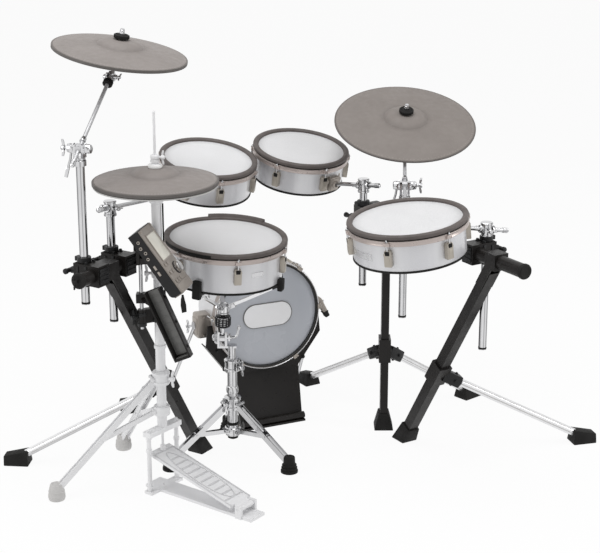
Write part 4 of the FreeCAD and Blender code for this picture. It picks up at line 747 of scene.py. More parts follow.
# Tilters on the cymbal posts
def tilter(name, wing_side, neck_reach, tail_rings):
    joint = post_feet[name] + UP * POST_TOPS[name]
    centre, pole = [Vector(value) for value in CYMBALS[name][:2]]
    pole.normalize()
    ball = centre + pole * (BELL_RISE - 42)
    way = (ball - joint).normalized()
    axis = UP.cross(way).normalized()
    piece = Piece(name + "_tilter")
    for side in (-1, 1):
        toothed_disc(piece, joint + axis * (side * 13.6), axis * side, 13.5, 4)
        piece.turned(frame_of(joint + axis * (side * 17.4), axis * side, UP),
                     [(0, 0), (12, 0), (12, 9), (11, 10.5), (11, 13), (8, 15), (0, 15.4)], 36)
    wing_bolt(piece, joint + axis * (wing_side * 31), axis * wing_side, UP, 0.95)
    piece.band(at(*joint) @ at(0, 0, -30), 14.2, 16, -14, 1, 36, 1)
    lever = joint + axis * 22 - UP * 10
    piece.tube([lever, lever - UP * 18 + axis * 3, lever - UP * 40 + axis * 10], 3.2)
    piece.box(frame_of(lever - UP * 52 + axis * 13.5, axis * 0.27 - UP, axis), (9, 5, 28), 1.8)
    piece.done(name + "_stand", chrome, "chrome")
    boom = Piece(name + "_boom_fittings")
    boom.turned(frame_of(joint - way * ROD_TAIL, way * -1, UP), ringed_end(5, 6.2, 5.4, 3.5, tail_rings), 24)
    boom.turned(frame_of(joint + way * 24, way, UP),
                [(5.1, 0), (8, 0), (8, 5), (7.4, 6.5), (7.4, 12), (6.2, 15), (5.1, 15)], 32)
    neck = ball - way * neck_reach
    for side in (-1, 1):
        toothed_disc(boom, neck + axis * (side * 6), axis * side, 11.5, 5, 26)
        boom.turned(frame_of(neck + axis * (side * 11), axis * side, way),
                    [(0, 0), (6.5, 0), (6.5, 6), (5, 8), (0, 8.4)], 24)
    boom.box(frame_of(neck + way * 10, way, axis), (16, 13, 15), 2.5)
    boom.box(frame_of(neck - way * 9, way, axis), (18, 14, 10), 2.5)
    wing_bolt(boom, neck - axis * 17, axis * -1, way, 0.6)
    boom.done(name + "_boom_arm", chrome, "chrome")
    grip = Piece(name + "_boom_grip")
    grip.turned(frame_of(neck - way * 30, way, axis),
                [(5.1, 0), (11, 0), (12.6, 1.5), (12.6, 5), (11.4, 6), (11.4, 8), (12.6, 9), (12.6, 12.5),
                 (11, 14), (5.1, 14)], 32)
    grip.knurl(frame_of(neck - way * 23, way, axis), 20, 12.4, 0, (1.8, 2.4, 12), 0.5)
    grip.done(name + "_boom_arm", black_rubber, "black_rubber")
    crown = Piece(name + "_cap_knurl")
    top = frame_of(centre, pole, axis)
    low = top @ at(0, 0, BELL_RISE + 8)
    crown.turned(low, [(15.2, 0), (18.6, 0), (20, 1.6), (20, 8.4), (18.6, 10), (15, 10.4)])
    crown.knurl(low, 15, 19.8, 5, (1.8, 2.8, 8), 0.6)
    crown.done(name + "_boom_arm", black_rubber, "black_rubber")
    stud = Piece(name + "_stud_nut")
    high = top @ at(0, 0, BELL_RISE + 21)
    stud.turned(high, [(4.1, 0), (7.4, 0), (7.4, 3), (6.2, 4)], 6)
    stud.turned(high, [(6.2, 4), (6.2, 9), (5.4, 9.6), (5.4, 12.6), (0, 13.4)], 24)
    stud.done(name + "_boom_arm", chrome, "chrome")


tilter("crash", 1, 78, 4)
tilter("ride", -1, 24, 0)


# Skirts round the edges of the pads
def skirt(name, body, low, reach):
    radius = CYMBALS[name][2]
    edge = radius + reach
    piece = Piece(name + "_skirt")
    piece.turned(cymbal_frames[name], [(radius - 3, 3.9), (edge, 2.4), (edge, low), (edge - 1.6, low - 0.6),
                                       (edge - 1.8, 0.6)], 192)
    piece.done(body, skirt_rubber, "taupe_rubber")


skirt("crash", "crash_pad", -4, 0.6)
skirt("ride", "ride_pad", -0.4, 0.6)
skirt("hihat_top", "hihat_upper", -4.4, 2.6)


# Rims, hoops, lugs and bolts of the drums, and the bare plates on two shells
# Stands an outline up on the shell, thick along the radius
LUG_TURN = Matrix(((0, 0, 1, 0), (1, 0, 0, 0), (0, 1, 0, 0), (0, 0, 0, 1)))
LUG_OUTLINE = ((-8.5, -82), (8.5, -82), (10, -80), (10, -54), (8.6, -48), (8.6, -41), (6.6, -38.4),
               (-6.6, -38.4), (-8.6, -41), (-8.6, -48), (-10, -54), (-10, -80))
# Black patch on the top of each lug, painted shade for its opening
LUG_MOUTH_SHADE = ((-5.6, -51), (5.6, -51), (6.8, -42), (5, -39.6), (-5, -39.6), (-6.8, -42))
LUG_COUNT = 6
# Sections as (distance inside the rim's outer edge, height)
RIM_SECTION = ((16, -8), (15.6, -3.4), (13, -0.7), (9, 0), (3.6, -0.6), (0.9, -2.6), (0, -6), (0.5, -9.6),
               (2.6, -11.6), (9, -11.8))
# Black ring in the recess between rim and hoop, a painted shade line
SHADE_GROOVE_SECTION = ((9, -11.6), (3, -11.6), (3, -14.8), (9, -14.8))
HOOP_SECTION = ((HOOP_MARGIN, -14.4), (1.6, -14.4), (0.4, -15), (0.2, -16), (1.2, -17.4), (1.6, -19),
                (1.6, -24), (0.7, -25.6), (0.5, -27), (1.6, -28), (HOOP_MARGIN, -28))
# Ring under the shell, as (distance outside the shell, height)
BOTTOM_SECTION = ((-9, -0.6), (1.2, -0.6), (2, 0.4), (2, 4.4), (0.1, 5.4))
# Raised strip at the back of the snare's rim, as (radius, height)
STRIP_SECTION = ((155, -1.2), (157, 6.2), (158, 7), (164.6, 7), (165.6, 6.2), (167, -1.2))


def drum_trim(name):
    radius, depth = DRUMS[name][2:]
    shell = radius - HOOP_MARGIN
    place = drum_frames[name]
    rim = Piece(name + "_rim_ring")
    rim.turned(place, [(radius - inset, height) for inset, height in RIM_SECTION], 192, closed=True)
    if name == "snare":
        rim.arc(place, 52, 110, 24, STRIP_SECTION, closed=True)
    rim.done(name, taupe_rim, "taupe_rim", name + "_rim")
    # Painted shade: a black ring fills the recess between rim and hoop
    shade_line = Piece(name + "_hoop_shade_line")
    shade_line.turned(place, [(radius - inset, height) for inset, height in SHADE_GROOVE_SECTION], 160, closed=True)
    shade_line.done(name, black_rubber, "black_rubber")
    hoop = Piece(name + "_hoop_ring")
    hoop.turned(place, [(radius - inset, height) for inset, height in HOOP_SECTION], 192, closed=True)
    # Painted shade: flat black patches where each lug's opening is shaded
    mouth_shades = Piece(name + "_lug_mouth_shades")
    bolts = Piece(name + "_tension_bolts")
    lugs = Piece(name + "_lugs")
    small = [(x * 0.62, -66 + (y + 60) * 0.5) for x, y in LUG_OUTLINE]
    for index in range(LUG_COUNT):
        spot = place @ spin(LUG_STARTS[name] + 360 / LUG_COUNT * index)
        hoop.box(spot @ at(radius - 0.5, 0, -22.5), (9, 16, 9.5), 2)
        hoop.turned(spot @ at(radius + 0.4, 0, -17.8), [(0, 0), (5, 0), (5, 1.2), (0, 1.2)], 20)
        bolts.turned(spot @ at(radius + 0.4, 0, -16.8), [(0, 0), (4, 0), (4, 3), (3, 4), (0, 4)], 6)
        bolts.box(spot @ at(radius + 0.4, 0, -11.4), (4, 4, 3.4), 0.5)
        bolts.turned(spot @ at(radius + 0.4, 0, -48), [(2.5, 0), (2.5, 24)], 16)
        lugs.prism(spot @ at(shell + 7, 0, 0) @ LUG_TURN, LUG_OUTLINE, 14, 2)
        lugs.prism(spot @ at(shell + 13.4, 0, 0) @ LUG_TURN, small, 2.4, 0.8)
        mouth_shades.prism(spot @ at(shell + 13.8, 0, 0) @ LUG_TURN, LUG_MOUTH_SHADE, 1.6, 0.4)
    hoop.done(name, hoop_nickel, "taupe_nickel", name + "_hardware")
    lugs.done(name, lug_nickel, "taupe_nickel")
    mouth_shades.done(name, black_rubber, "black_rubber")
    bolts.done(name, chrome, "chrome")
    ring = Piece(name + "_bottom_ring")
    section = [(shell + lift, height) for lift, height in BOTTOM_SECTION]
    ring.turned(place @ at(0, 0, -RIM_HEIGHT - depth), section, 160)
    ring.done(name, black_rubber, "black_rubber")


def bare_plate(name, start, end, low, high):
    """Bare plate that follows the shell between two angles, with a raised edge."""
    shell = DRUMS[name][2] - HOOP_MARGIN
    section = [(shell + lift, level) for level, lift in
               ((low, 0.1), (low, 1.4), (low + 1.6, 1.4), (low + 1.9, 0.8), (high - 1.9, 0.8),
                (high - 1.6, 1.4), (high, 1.4), (high, 0.1))]
    piece = Piece(name + "_plate")
    piece.arc(drum_frames[name], start, end, 10, section)
    piece.done(name, plate_metal, "silver_shell")


for name in DRUMS:
    drum_trim(name)
bare_plate("snare", -61, -48, -70, -56)
bare_plate("floor_tom", -188, -153, -76, -58)


# Snare: black stretch of its rim, adjuster, basket, tilter and stand fittings
BASKET_ANGLES = (-20, 100, 246)
# Rubber tips of the basket's arms, in the order of the arms
CLIP_HEIGHTS = (35, 35, 52)
SNARE_LEG_ANGLES = (-33, 97, 207)
SNARE_PINS = ((165, 26), (82, 22))


def snare_fittings():
    place = drum_frames["snare"]
    strip = Piece("snare_rim_strip")
    strip.arc(place, -160, -101, 24, ((166.6, -3.4), (168.6, -4.4), (169, -7), (168.6, -10.4), (166.6, -13.2),
                                      (163, -14)))
    strip.done("snare", black_rubber, "black_rubber")

    adjuster = Piece("snare_adjuster")
    low = place @ at(0, 0, SNARE_PIVOT + 35)
    profile = [(6.2, -1), (19, -1), (20.6, 1)]
    for start in range(3, 28, 5):
        profile += [(20.8, start), (20.8, start + 2.6), (19.9, start + 3.2), (19.9, start + 4.4)]
    profile += [(20.6, 29), (18, 30.4), (8, 30.6)]
    adjuster.turned(low, profile, 48)
    adjuster.knurl(low, 30, 21, 14.5, (2.4, 4, 24), 0.8)
    adjuster.done("snare", black_plastic, "black_rubber")

    basket = Piece("snare_basket_fittings")
    hub = place @ at(0, 0, BASKET_HUB)
    basket.turned(hub, [(15.2, 7), (17, 8), (17, 11), (14, 14), (8, 16), (0, 16.5)], 36)
    basket.turned(hub, [(15.2, -8), (17, -9), (17, -12), (13, -14.5), (6.2, -14.5)], 36)
    for angle in BASKET_ANGLES:
        spot = hub @ spin(angle)
        basket.tube([spot @ Vector((16, -8, 6)), spot @ Vector((16, 8, 6))], 3.2, 14)
        basket.box(spot @ at(24, 0, 12) @ turn_about("Y", -32), (26, 14, 13), 2)
        basket.band(spot @ at(110, 0, 75) @ turn_about("Y", 57), 8.8, 9.6, -8, 6, 20, 1)
    basket.done("snare", chrome, "chrome")

    clips = Piece("snare_basket_clips")
    for angle, height in zip(BASKET_ANGLES, CLIP_HEIGHTS):
        spot = place @ spin(angle) @ at(0, 0, -132 + height / 2)
        clips.box(spot @ at(164.4, 0, 0), (14.6, 24, height), 4.5)
        clips.box(spot @ at(171.2, 0, 0), (2.4, 15, height - 14), 1)
    clips.done("snare", black_rubber, "black_rubber")

    tilt = Piece("snare_tilter")
    side = Vector((1, 0, 0))
    toothed_disc(tilt, snare_pivot - side * 13.6, side * -1, 18, 5, 36)
    toothed_disc(tilt, snare_pivot - side * 18.6, side * -1, 15, 3, 30)
    tilt.turned(frame_of(snare_pivot - side * 21, side * -1, UP),
                [(0, 0), (9, 0), (9, 4), (6, 7), (0, 7.5)], 28)
    tilt.tube([snare_pivot + side * 25, snare_pivot + side * 34, snare_pivot + side * 40 + UP * 5,
               snare_pivot + side * 46 + UP * 26], 3.6)
    tilt.turned(frame_of(snare_pivot + side * 45.5 + UP * 24, (0.25, 0, 1), side),
                [(3.6, 0), (5, 1), (5, 9), (3.4, 11), (0, 11.4)], 20)
    tilt.done("snare_column", chrome, "chrome")

    stand = Piece("snare_stand_fittings")
    foot = at(stand_axis.x, stand_axis.y, 0)
    stand.band(foot, 20.2, 22, 262, 270.5)
    stand.turned(foot, [(20.2, 286), (22, 287.5), (22, 294), (17, 297), (11.3, 297)])
    stand.box(frame_of(stand_axis + Vector((16, -16, 278)), (1, -1, 0), UP), (26, 20, 12), 3)
    wing_bolt(stand, stand_axis + Vector((20, -20, 278)), (1, -1, 0), UP)
    stand.turned(foot, [(14.2, 196), (17, 197), (17.6, 204), (16, 214), (14.2, 216)], 36)
    stand.band(foot, 22.2, 24, 149, 157.5)
    stand.turned(foot, [(22.2, 174), (24, 175.5), (24, 181), (18, 186), (14.2, 187)])
    wing_bolt(stand, stand_axis + Vector((-15, -16, 166)), (-0.7, -0.75, 0), UP, 0.9)
    stand.turned(foot, [(20.2, 71), (22.4, 73), (22.8, 82), (22.4, 91), (20.2, 93)])
    leg_pins(stand, foot, SNARE_LEG_ANGLES, SNARE_PINS)
    stand.done("frame", chrome, "chrome")
    bush = Piece("snare_stand_bush")
    bush.band(foot, 14.1, 16, 99, 108, 36, 1)
    bush.turned(foot, [(0, 58), (11, 58), (14.6, 60), (14.6, 68), (14.1, 69)], 36)
    bush.done("frame", black_rubber, "black_rubber")


snare_fittings()


# Kick: raised rings of pale metal on the hoop as painted highlights, claws, side boxes and patch edge
CLAW_ANGLES = (52, 90, 128, 2, 178, -58, -122)
PATCH_HALF, PATCH_ROUND = 40.5, 36.5


def patch_outline(radius):
    """Two half circles joined by straight sides."""
    outline = []
    for side in (1, -1):
        for step in range(49):
            turn = math.pi * (step / 48 - side / 2)
            outline.append((side * PATCH_HALF + radius * math.cos(turn), radius * math.sin(turn)))
    return outline


def kick_fittings():
    forward = toward(kick_frame, 0, 0, 1)
    # Painted highlights: two thin raised rings of pale metal on the hoop's face and side
    line = Piece("kick_hoop_highlights")
    line.turned(kick_frame, [(161.6, 0.1), (162.2, 0.9), (163.6, 0.3), (164.2, -1.2)], 160)
    line.turned(kick_frame, [(165.0, -9), (165.7, -9.6), (165.7, -11.4), (165.0, -12)], 160)
    line.done("frame", plate_metal, "silver_shell")
    claws = Piece("kick_claws")
    rods = Piece("kick_claw_bolts")
    for angle in CLAW_ANGLES:
        spot = kick_frame @ spin(angle)
        claws.box(spot @ at(168, 0, -12), (5, 17, 30), 1.5)
        claws.box(spot @ at(164.5, 0, 1.6), (11, 15, 3.4), 1.2)
        claws.box(spot @ at(171, 0, -22), (8, 12, 12), 1.8)
        rods.turned(spot @ at(171.5, 0, -17), [(0, 9), (3, 9), (4.6, 8), (4.6, 1), (0, 0)], 20)
        rods.box(spot @ at(171.5, 0, -5.5), (4.2, 4.2, 6), 0.6)
        rods.turned(spot @ at(171.5, 0, -52), [(2.4, 0), (2.4, 30)], 14)
    claws.done("frame", nickel, "taupe_nickel")
    rods.done("frame", chrome, "chrome")
    boxes = Piece("kick_side_boxes")
    for side in (-1, 1):
        spot = kick_frame @ at(side * 175, -30, -90)
        boxes.box(spot, (43, 73, 47), 8)
        boxes.box(spot @ at(side * 21, 0, 0), (5, 50, 34), 2.2)
        for level in (-28, 28):
            hex_bolt(boxes, spot @ Vector((side * 4, level, 23.4)), forward, 3.4, 2.6)
    hook = kick_frame @ at(181, 0, -18) @ spin(27)
    boxes.prism(hook, [(-5, 32), (4, 32), (8, 24), (8, -14), (5, -28), (-5, -28), (-7, -14), (-7, 24)], 18, 3)
    boxes.prism(hook @ at(-8, 20, 0), [(-10, 8), (10, 8), (10, -8), (-10, -8)], 16, 2.5)
    boxes.done("frame", nickel, "taupe_nickel")
    stop = Piece("kick_side_stop")
    stop.box(hook @ at(0, -31, 0), (15, 17, 20), 4)
    stop.box(hook @ at(0, -22, 0), (17, 4, 22), 1.5)
    stop.done("frame", black_rubber, "black_rubber")
    knobs = Piece("kick_spur_knobs")
    for side in (-1, 1):
        outward = toward(kick_frame, side, 0, 0)
        hub = kick_frame @ Vector((side * 206, -30, -90))
        toothed_disc(knobs, hub - outward * 7.4, outward, 12.4, 4, 28)
        wing_bolt(knobs, hub + outward * 1.5, outward, UP, 0.9)
    knobs.done("frame", chrome, "chrome")
    edge = Piece("kick_patch_edge")
    rings = []
    for grow, height in ((0.8, -7.9), (0.8, -5.4), (-1.4, -5.2), (-1.4, -5.7)):
        corners = [kick_frame @ Vector((x, y, height)) for x, y in patch_outline(PATCH_ROUND + grow)]
        rings.append([edge.mesh.verts.new(corner) for corner in corners])
    edge.skin(rings)
    edge.done("frame", tray_grey, "white_patch")
    stand = Piece("kick_stand_fittings")
    for side in (-1, 1):
        for x, y in ((150, -100), (128, -160)):
            hex_bolt(stand, kick_frame @ Vector((side * x, y, -35.4)), forward, 4, 3)
    stand.done("frame", black_plastic, "black_satin")


kick_fittings()


# Outrigger pipes with pale inlays along them
LEG_TOP_ALONG, LEG_FOOT_ALONG, REAR_LEG_ALONG = 110, 500, 605
BRACKET_HEIGHT, REAR_BRACKET_HEIGHT = 257, 246
SOCKET_LENGTH, PIPE_RADIUS = 70, 11
INLAY_ANGLES = (-100, -50, 50, 100)


def leg_point(bar, height):
    top = bar.at(LEG_TOP_ALONG)
    foot = bar.at(LEG_FOOT_ALONG)
    return top + (foot - Vector((0, 0, foot.z)) - top) * ((top.z - height) / top.z)


rear_start = right_bar.at(REAR_LEG_ALONG)
rear_start.z = REAR_BRACKET_HEIGHT
# Where each pipe starts and the place of its boot on the floor
OUTRIGGERS = (
    (leg_point(right_bar, BRACKET_HEIGHT), (812.32, 15)),
    (leg_point(left_bar, BRACKET_HEIGHT), (-813, -141)),
    (leg_point(left_bar, BRACKET_HEIGHT), (-537, 259)),
    (rear_start, (515, 369)),
    (rear_start, (6, 489)),
)


def outriggers():
    pipes = Piece("outrigger_pipes")
    inlays = Piece("outrigger_inlays")
    collars = Piece("outrigger_collars")
    for start, (x, y) in OUTRIGGERS:
        target = Vector((x, y, PIPE_RADIUS))
        way = (target - start).normalized()
        socket = frame_of(start + way * SOCKET_LENGTH, way, UP)
        length = (target - start).length - SOCKET_LENGTH
        pipes.turned(socket, [(0, -12), (9, -12), (PIPE_RADIUS, -10), (PIPE_RADIUS, length - 40),
                              (0, length - 40)], 48)
        span = length - 58
        for turn in INLAY_ANGLES:
            inlays.box(socket @ spin(turn) @ at(PIPE_RADIUS - 0.3, 0, span / 2), (1.2, 2.6, span), 0.3)
        collars.box(socket @ at(0, 0, -27), (34, 34, 56), 4)
        collars.turned(socket, [(15, 0), (15, 3), (13, 4.5), (11.2, 4.5)], 36)
        for side in (-1, 1):
            hex_bolt(collars, socket @ Vector((0, side * 17, -18)), toward(socket, 0, side, 0), 3.6, 3)
            hex_bolt(collars, socket @ Vector((side * 17, 0, -18)), toward(socket, side, 0, 0), 3.6, 2.4)
    pipes.done("frame", bright_aluminium, "bright_aluminium", "rack_outriggers")
    inlays.done("frame", pale_rubber, "black_rubber")
    collars.done("frame", black_plastic, "black_satin")


outriggers()


# Rubber boots and feet
def frustum(piece, low, high, bevel):
    """Block between two rows of four corners."""
    first = [piece.mesh.verts.new(corner) for corner in low]
    second = [piece.mesh.verts.new(corner) for corner in high]
    piece.mesh.faces.new(first)
    piece.mesh.faces.new(second)
    piece.skin([first, second])
    piece.soften({edge for vert in first + second for edge in vert.link_edges}, bevel)


CORNERS = ((-1, -1), (1, -1), (1, 1), (-1, 1))
LEG_BOOT_HEIGHT, REAR_BOOT_HEIGHT = 62, 50
SNARE_FOOT_REACH = 190
SNARE_FOOT = ((0, 0), (24, 0), (24, 6), (21, 8), (22.5, 14), (19, 16), (20.5, 22), (17, 24), (16.4, 30),
              (16, 42), (14.8, 45), (12, 46), (0, 46))


def rubber_boots():
    boots = Piece("rubber_boots")
    for bar in (right_bar, left_bar):
        top = bar.at(LEG_TOP_ALONG)
        foot = bar.at(LEG_FOOT_ALONG) - UP * BAR_HEIGHT
        way = (foot - top).normalized()
        rise = bar.out.cross(way)
        low = []
        for x, y in CORNERS:
            corner = foot + bar.out * (x * 25) + rise * (y * 24)
            low.append(corner - way * (corner.z / way.z))
        upper = foot - way * LEG_BOOT_HEIGHT
        frustum(boots, low, [upper + bar.out * (x * 19.4) + rise * (y * 19.4) for x, y in CORNERS], 2.5)
    rear = Vector((rear_start.x, rear_start.y, 0))
    frustum(boots, [rear + Vector((x * 28, y * 32, 0)) for x, y in CORNERS],
            [rear + Vector((x * 15.4, y * 24.4, REAR_BOOT_HEIGHT)) for x, y in CORNERS], 2.5)
    for start, (x, y) in OUTRIGGERS:
        ahead = Vector((x - start.x, y - start.y, 0)).normalized()
        place = frame_of((x, y, 0), UP, ahead)
        low = [place @ Vector((-9 + 35 * end, 27 * side, 0)) for side, end in CORNERS]
        high = [place @ Vector((-6 + 34 * end, 18 * side, 34 - 8 * end)) for side, end in CORNERS]
        frustum(boots, low, high, 3)
    for angle in SNARE_LEG_ANGLES:
        foot = at(stand_axis.x, stand_axis.y, 0) @ spin(angle) @ at(SNARE_FOOT_REACH, 0, 0)
        boots.turned(foot, SNARE_FOOT)
    boots.done("frame", black_rubber, "black_rubber", "rubber_feet")


rubber_boots()


# Hi-hat: felts, clutch wings, stand collars, boots and footboard ribs, all in pale grey
HIHAT_LEG_ANGLES = (196, 118)
HIHAT_PINS = ((318, 26), (225, 22))
HIHAT_FOOT_REACH = 290
HIHAT_FOOT = ((0, 0), (17, 0), (21, 1.6), (23, 8), (23, 14), (20, 30), (17.6, 42), (15.4, 46), (0, 47))
OVAL_STEPS = 64


def hihat_fittings():
    axis = at(*HIHAT_AXIS)
    bell = axis @ at(0, 0, CYMBALS["hihat_top"][0][2] + BELL_RISE + 5)
    felts = Piece("hihat_felts")
    felts.turned(bell, [(7.2, 0.3), (17, 0.3), (18.4, 2), (18.4, 7), (17, 9), (13.2, 9)])
    felts.done("hihat_upper", white_felt, "pale_steel")
    clutch = Piece("hihat_clutch_fittings")
    clutch.turned(bell, [(9.2, 14), (12, 15), (12, 20), (10.4, 21), (10.4, 24), (12, 25), (12, 31), (10, 34),
                         (3.7, 34.4)], 32)
    wing_bolt(clutch, bell @ Vector((11, -3, 28)), (1, -0.3, 0), UP, 0.8)
    clutch.turned(axis, [(0, 1035.3), (3, 1035.2), (3.9, 1034), (3.9, 1030), (3.5, 1029)], 24)
    clutch.done("hihat_upper", pale_steel, "pale_steel")
    stand = Piece("hihat_stand_fittings")
    stand.turned(axis, [(13.2, 596), (17, 597.5), (18, 601), (18, 617), (17, 620), (13.2, 622)])
    wing_bolt(stand, HIHAT_AXIS + Vector((-17, -4, 609)), (-1, -0.2, 0), UP)
    stand.band(axis, 13.2, 16, 400, 411.5, 36)
    stand.band(axis, 22.2, 24, 302, 310.5)
    stand.turned(axis, [(22.2, 326), (24, 327.5), (24, 333), (18, 338), (13.2, 339)])
    wing_bolt(stand, HIHAT_AXIS + Vector((20, -10, 318)), (1, -0.4, 0), UP)
    stand.band(axis, 20.2, 22, 213, 237.5)
    leg_pins(stand, axis, HIHAT_LEG_ANGLES, HIHAT_PINS)
    for side in (-1, 1):
        low = pedal_frame @ Vector((0, side * 55, 0))
        for height in (14, 120, 158):
            stand.band(at(*low) @ at(0, 0, height), 6.1, 8, 0, 10, 24, 1)
        hex_bolt(stand, low + UP * 179, UP, 5, 4)
    stand.done("frame", pale_steel, "pale_steel")
    boots = Piece("hihat_boots")
    for angle in HIHAT_LEG_ANGLES:
        foot = axis @ spin(angle) @ at(HIHAT_FOOT_REACH, 0, 0)
        boots.turned(foot, HIHAT_FOOT)
        boots.turned(foot, [(20.6, 24), (21.8, 24.6), (21.4, 27.4), (20, 28)])
    boots.done("frame", pale_rubber, "pale_steel")
    board = Piece("hihat_footboard_ribs")
    top = pedal_frame @ at(135.5, 0, 70.4) @ turn_about("Y", math.degrees(math.atan2(81.5, 299)))
    for index in range(9):
        board.box(top @ at(-96 + index * 23, 0, 0.8), (5, 52 - abs(index - 4) * 4, 2.4), 0.9)
    for side in (-1, 1):
        board.box(top @ at(0, side * 38.5, 0.8), (276, 3.4, 2.8), 1.0)
    for end in (-138, 112):
        board.box(top @ at(end, 0, 0.8), (4, 74, 2.8), 1.0)
    oval = []
    for step in range(OVAL_STEPS):
        turn = math.tau * step / OVAL_STEPS
        oval.append(top @ Vector((118 * math.cos(turn) - 8, (30 + 6 * math.cos(turn)) * math.sin(turn), 0.6)))
    for first, second in zip(oval, oval[1:] + oval[:1]):
        board.tube([first, second], 1.3, 8)
    board.done("hihat_footboard", pale_shadow, "pale_steel")


hihat_fittings()


# Sound module: screen, keys, knurled dial, sockets and end cheek; tray liner and hanging strap
KEYS = ((64, -30), (64, -14), (64, 2), (38, -30), (38, -14), (14, -30), (14, -14))
HOLDER_ROD = Vector((-425, -322, 0))
STRAP_HOOK = Vector((-312, -404, 584))
STRAP_OUTLINE = ((-2, 2), (-2, -3), (-14, -5), (-28, -9), (-48, -10), (-50, 2), (-30, 5), (-14, 2))


def module_fittings():
    face = toward(module_frame, 0, 0, 1)
    cheek = Piece("module_end_cheek")
    cheek.box(module_frame @ at(95.6, 0, -9), (4, 90, 27), 1.9)
    cheek.box(module_frame @ at(83, 0, 4.6), (22, 88, 1.6), 0.7)
    for x, y in KEYS:
        cheek.box(module_frame @ at(x, y, 5), (9, 12, 3), 1.2)
    cheek.done("module", taupe_panel, "taupe_panel")
    bezel = Piece("module_bezel")
    for x, y, width, height in ((-72, 2, 3, 62), (4, 2, 3, 62), (-34, -28, 79, 3), (-34, 32, 79, 3)):
        bezel.box(module_frame @ at(x, y, 4.6), (width, height, 2.4), 0.8)
    for x in (-88, 90):
        for y in (-38, 38):
            hex_bolt(bezel, module_frame @ Vector((x, y, 4.0)), face, 2.2, 1.4)
    bezel.done("module", nickel, "taupe_panel")
    screen = Piece("module_screen")
    screen.box(module_frame @ at(-34, 2, 4.4), (74, 58, 1.4), 0.5)
    screen.done("module", screen_glass, "white_patch")
    sockets = Piece("module_sockets")
    for side in (-1, 1):
        outward = toward(module_frame, 0, side, 0)
        for x, depth in ((-70, -15), (-54, -19), (-38, -15), (-22, -19)):
            spot = frame_of(module_frame @ Vector((x, side * 46, depth)), outward, UP)
            sockets.turned(spot, [(2.4, 0.2), (2.4, 0.9), (3, 1.3), (3.8, 1.3), (4.3, 0.8), (4.3, 0)], 28)
        for x in (6, 24):
            sockets.box(module_frame @ at(x, side * 46.4, -17), (12, 1.4, 6), 0.6)
    sockets.done("module", nickel, "chrome")
    dial = Piece("module_dial_knurl")
    base = module_frame @ at(38, 18, 0)
    toothed_disc(dial, base @ Vector((0, 0, 5.2)), face, 14.8, 8.5, 44)
    dial.turned(base, [(14.1, 13.6), (14.3, 14.6), (12.8, 15.9), (10, 15.7), (4, 15.4), (0, 15.4)], 44)
    dial.done("module_dial", dial_metal, "dial_metal")
    seat = Piece("module_dial_seat")
    seat.turned(base, [(15.4, 4.0), (17.6, 4.1), (17, 5.1), (15.4, 5.1)], 44, closed=True)
    seat.done("module", black_plastic, "black_plastic")
    tray = Piece("tray_liner")
    tray.box(tray_frame @ at(-5, 0, 3.6), (182, 37, 1.2), 0.5)
    tray.box(tray_frame @ at(90.6, 0, 12), (1.4, 37, 18), 0.6)
    for x in range(-80, 80, 20):
        tray.box(tray_frame @ at(x, 0, 4.4), (3, 30, 1.2), 0.5)
    tray.done("frame", tray_grey, "black_satin")
    edges = Piece("tray_edges")
    for side in (-1, 1):
        edges.box(tray_frame @ at(0, side * 21.2, 22.2), (196, 5, 1.8), 0.8)
        for x in (-70, 0, 70):
            hex_bolt(edges, tray_frame @ Vector((x, side * 23, 11)), toward(tray_frame, 0, side, 0), 2.6, 1.6)
    edges.box(tray_frame @ at(95, 0, 22.2), (7, 46, 1.8), 0.8)
    edges.done("frame", black_satin, "black_satin")
    strap = Piece("module_strap")
    strap.prism(frame_of(STRAP_HOOK, (0.35, -0.94, 0), UP), STRAP_OUTLINE, 6, 1.6)
    strap.done("module", black_rubber, "black_rubber")
    holder = Piece("module_holder_fittings")
    for height in (470, 498, 540, 640, 668):
        holder.turned(at(*HOLDER_ROD) @ at(0, 0, height),
                      [(5.2, 0), (11.5, 0), (12.4, 1.2), (12.4, 9), (11.5, 10), (5.2, 10)], 32)
    wing_bolt(holder, HOLDER_ROD + Vector((-11, -6, 497)), (-0.9, -0.45, 0), UP, 0.9)
    wing_bolt(holder, HIHAT_AXIS + Vector((17, -12, 497)), (0.8, -0.6, 0), UP, 0.9)
    for height in (480, 506):
        holder.band(at(*HIHAT_AXIS), 21.2, 22.6, height, height + 8.5)
    holder.done("frame", black_plastic, "black_satin")


module_fittings()


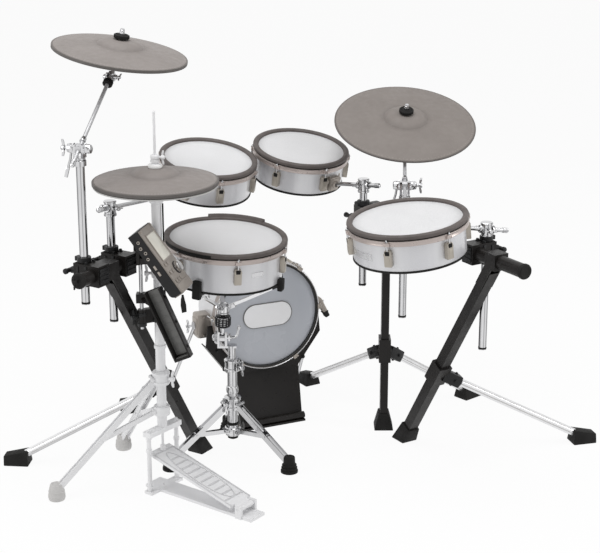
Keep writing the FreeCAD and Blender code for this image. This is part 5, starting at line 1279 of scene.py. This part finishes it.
# Lead of the hi-hat pad, tight between the seat and the grip below
LEAD_RADIUS = 0.0022
LEAD_ROUTE = ((-0.365, -0.306, 0.7963), (-0.365, -0.306, 0.656), (-0.365, -0.306, 0.516))
lead_curve = bpy.data.curves.new("hihat_lead_cord", "CURVE")
lead_curve.dimensions = "3D"
lead_curve.bevel_depth = LEAD_RADIUS
lead_curve.bevel_resolution = 6
lead_curve.use_fill_caps = True
lead_line = lead_curve.splines.new("NURBS")
lead_line.points.add(len(LEAD_ROUTE) - 1)
for point, place in zip(lead_line.points, LEAD_ROUTE):
    point.co = (*place, 1)
lead_line.order_u = 3
lead_line.use_endpoint_u = True
lead_curve.materials.append(black_rubber.data)
lead = placed("hihat_lead_cord", lead_curve)
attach(lead, "frame")
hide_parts("hihat_lead")

# Floor, backdrop and light
FLOOR_REACH = 14
floor_material = bpy.data.materials.new("floor")
floor_tree = Tree(floor_material)
floor_tree.tree.nodes.clear()
matte = floor_tree.node("ShaderNodeBsdfDiffuse", {"Color": (0.9, 0.9, 0.9, 1)})
glow = floor_tree.node("ShaderNodeEmission", {"Strength": 1.0})
blend = floor_tree.node("ShaderNodeMixShader", {"Fac": 0.93, 1: matte.outputs[0], 2: glow.outputs[0]})
floor_tree.node("ShaderNodeOutputMaterial", {"Surface": blend.outputs[0]})
floor_mesh = bpy.data.meshes.new("floor")
floor_mesh.from_pydata([(x * FLOOR_REACH, y * FLOOR_REACH, 0) for x, y in CORNERS], [], [(0, 1, 2, 3)])
floor_mesh.materials.append(floor_material)
floor = placed("floor", floor_mesh)

world = bpy.data.worlds.new("studio")
bpy.context.scene.world = world
sky = Tree(world)
background = sky.tree.nodes["Background"]
rays = sky.node("ShaderNodeLightPath").outputs
shown = sky.math("MAXIMUM", rays["Is Camera Ray"], rays["Is Transmission Ray"])
mirrored = sky.math("MAXIMUM", shown, rays["Is Glossy Ray"])
sky.fill(background, "Strength", sky.ramp(mirrored, 0.0, 1.0, 0.45, 1.0))
sky.fill(background, "Color", (1, 1, 1, 1))


def lamp(name, place, target, width, height, power):
    data = bpy.data.lights.new(name, "AREA")
    data.shape = "RECTANGLE"
    data.size = width
    data.size_y = height
    data.energy = power
    made = placed(name, data)
    made.location = place
    made.rotation_euler = (Vector(target) - Vector(place)).to_track_quat("-Z", "Y").to_euler()


lamp("top_softbox", (-0.4, -0.6, 3.6), (0, 0, 0.5), 2.6, 2.2, 60)
lamp("left_softbox", (-3.2, -1.8, 2.0), (0, 0, 0.6), 1.2, 2.4, 35)
lamp("right_strip", (3.0, -0.6, 1.8), (0, 0, 0.6), 0.7, 2.4, 30)
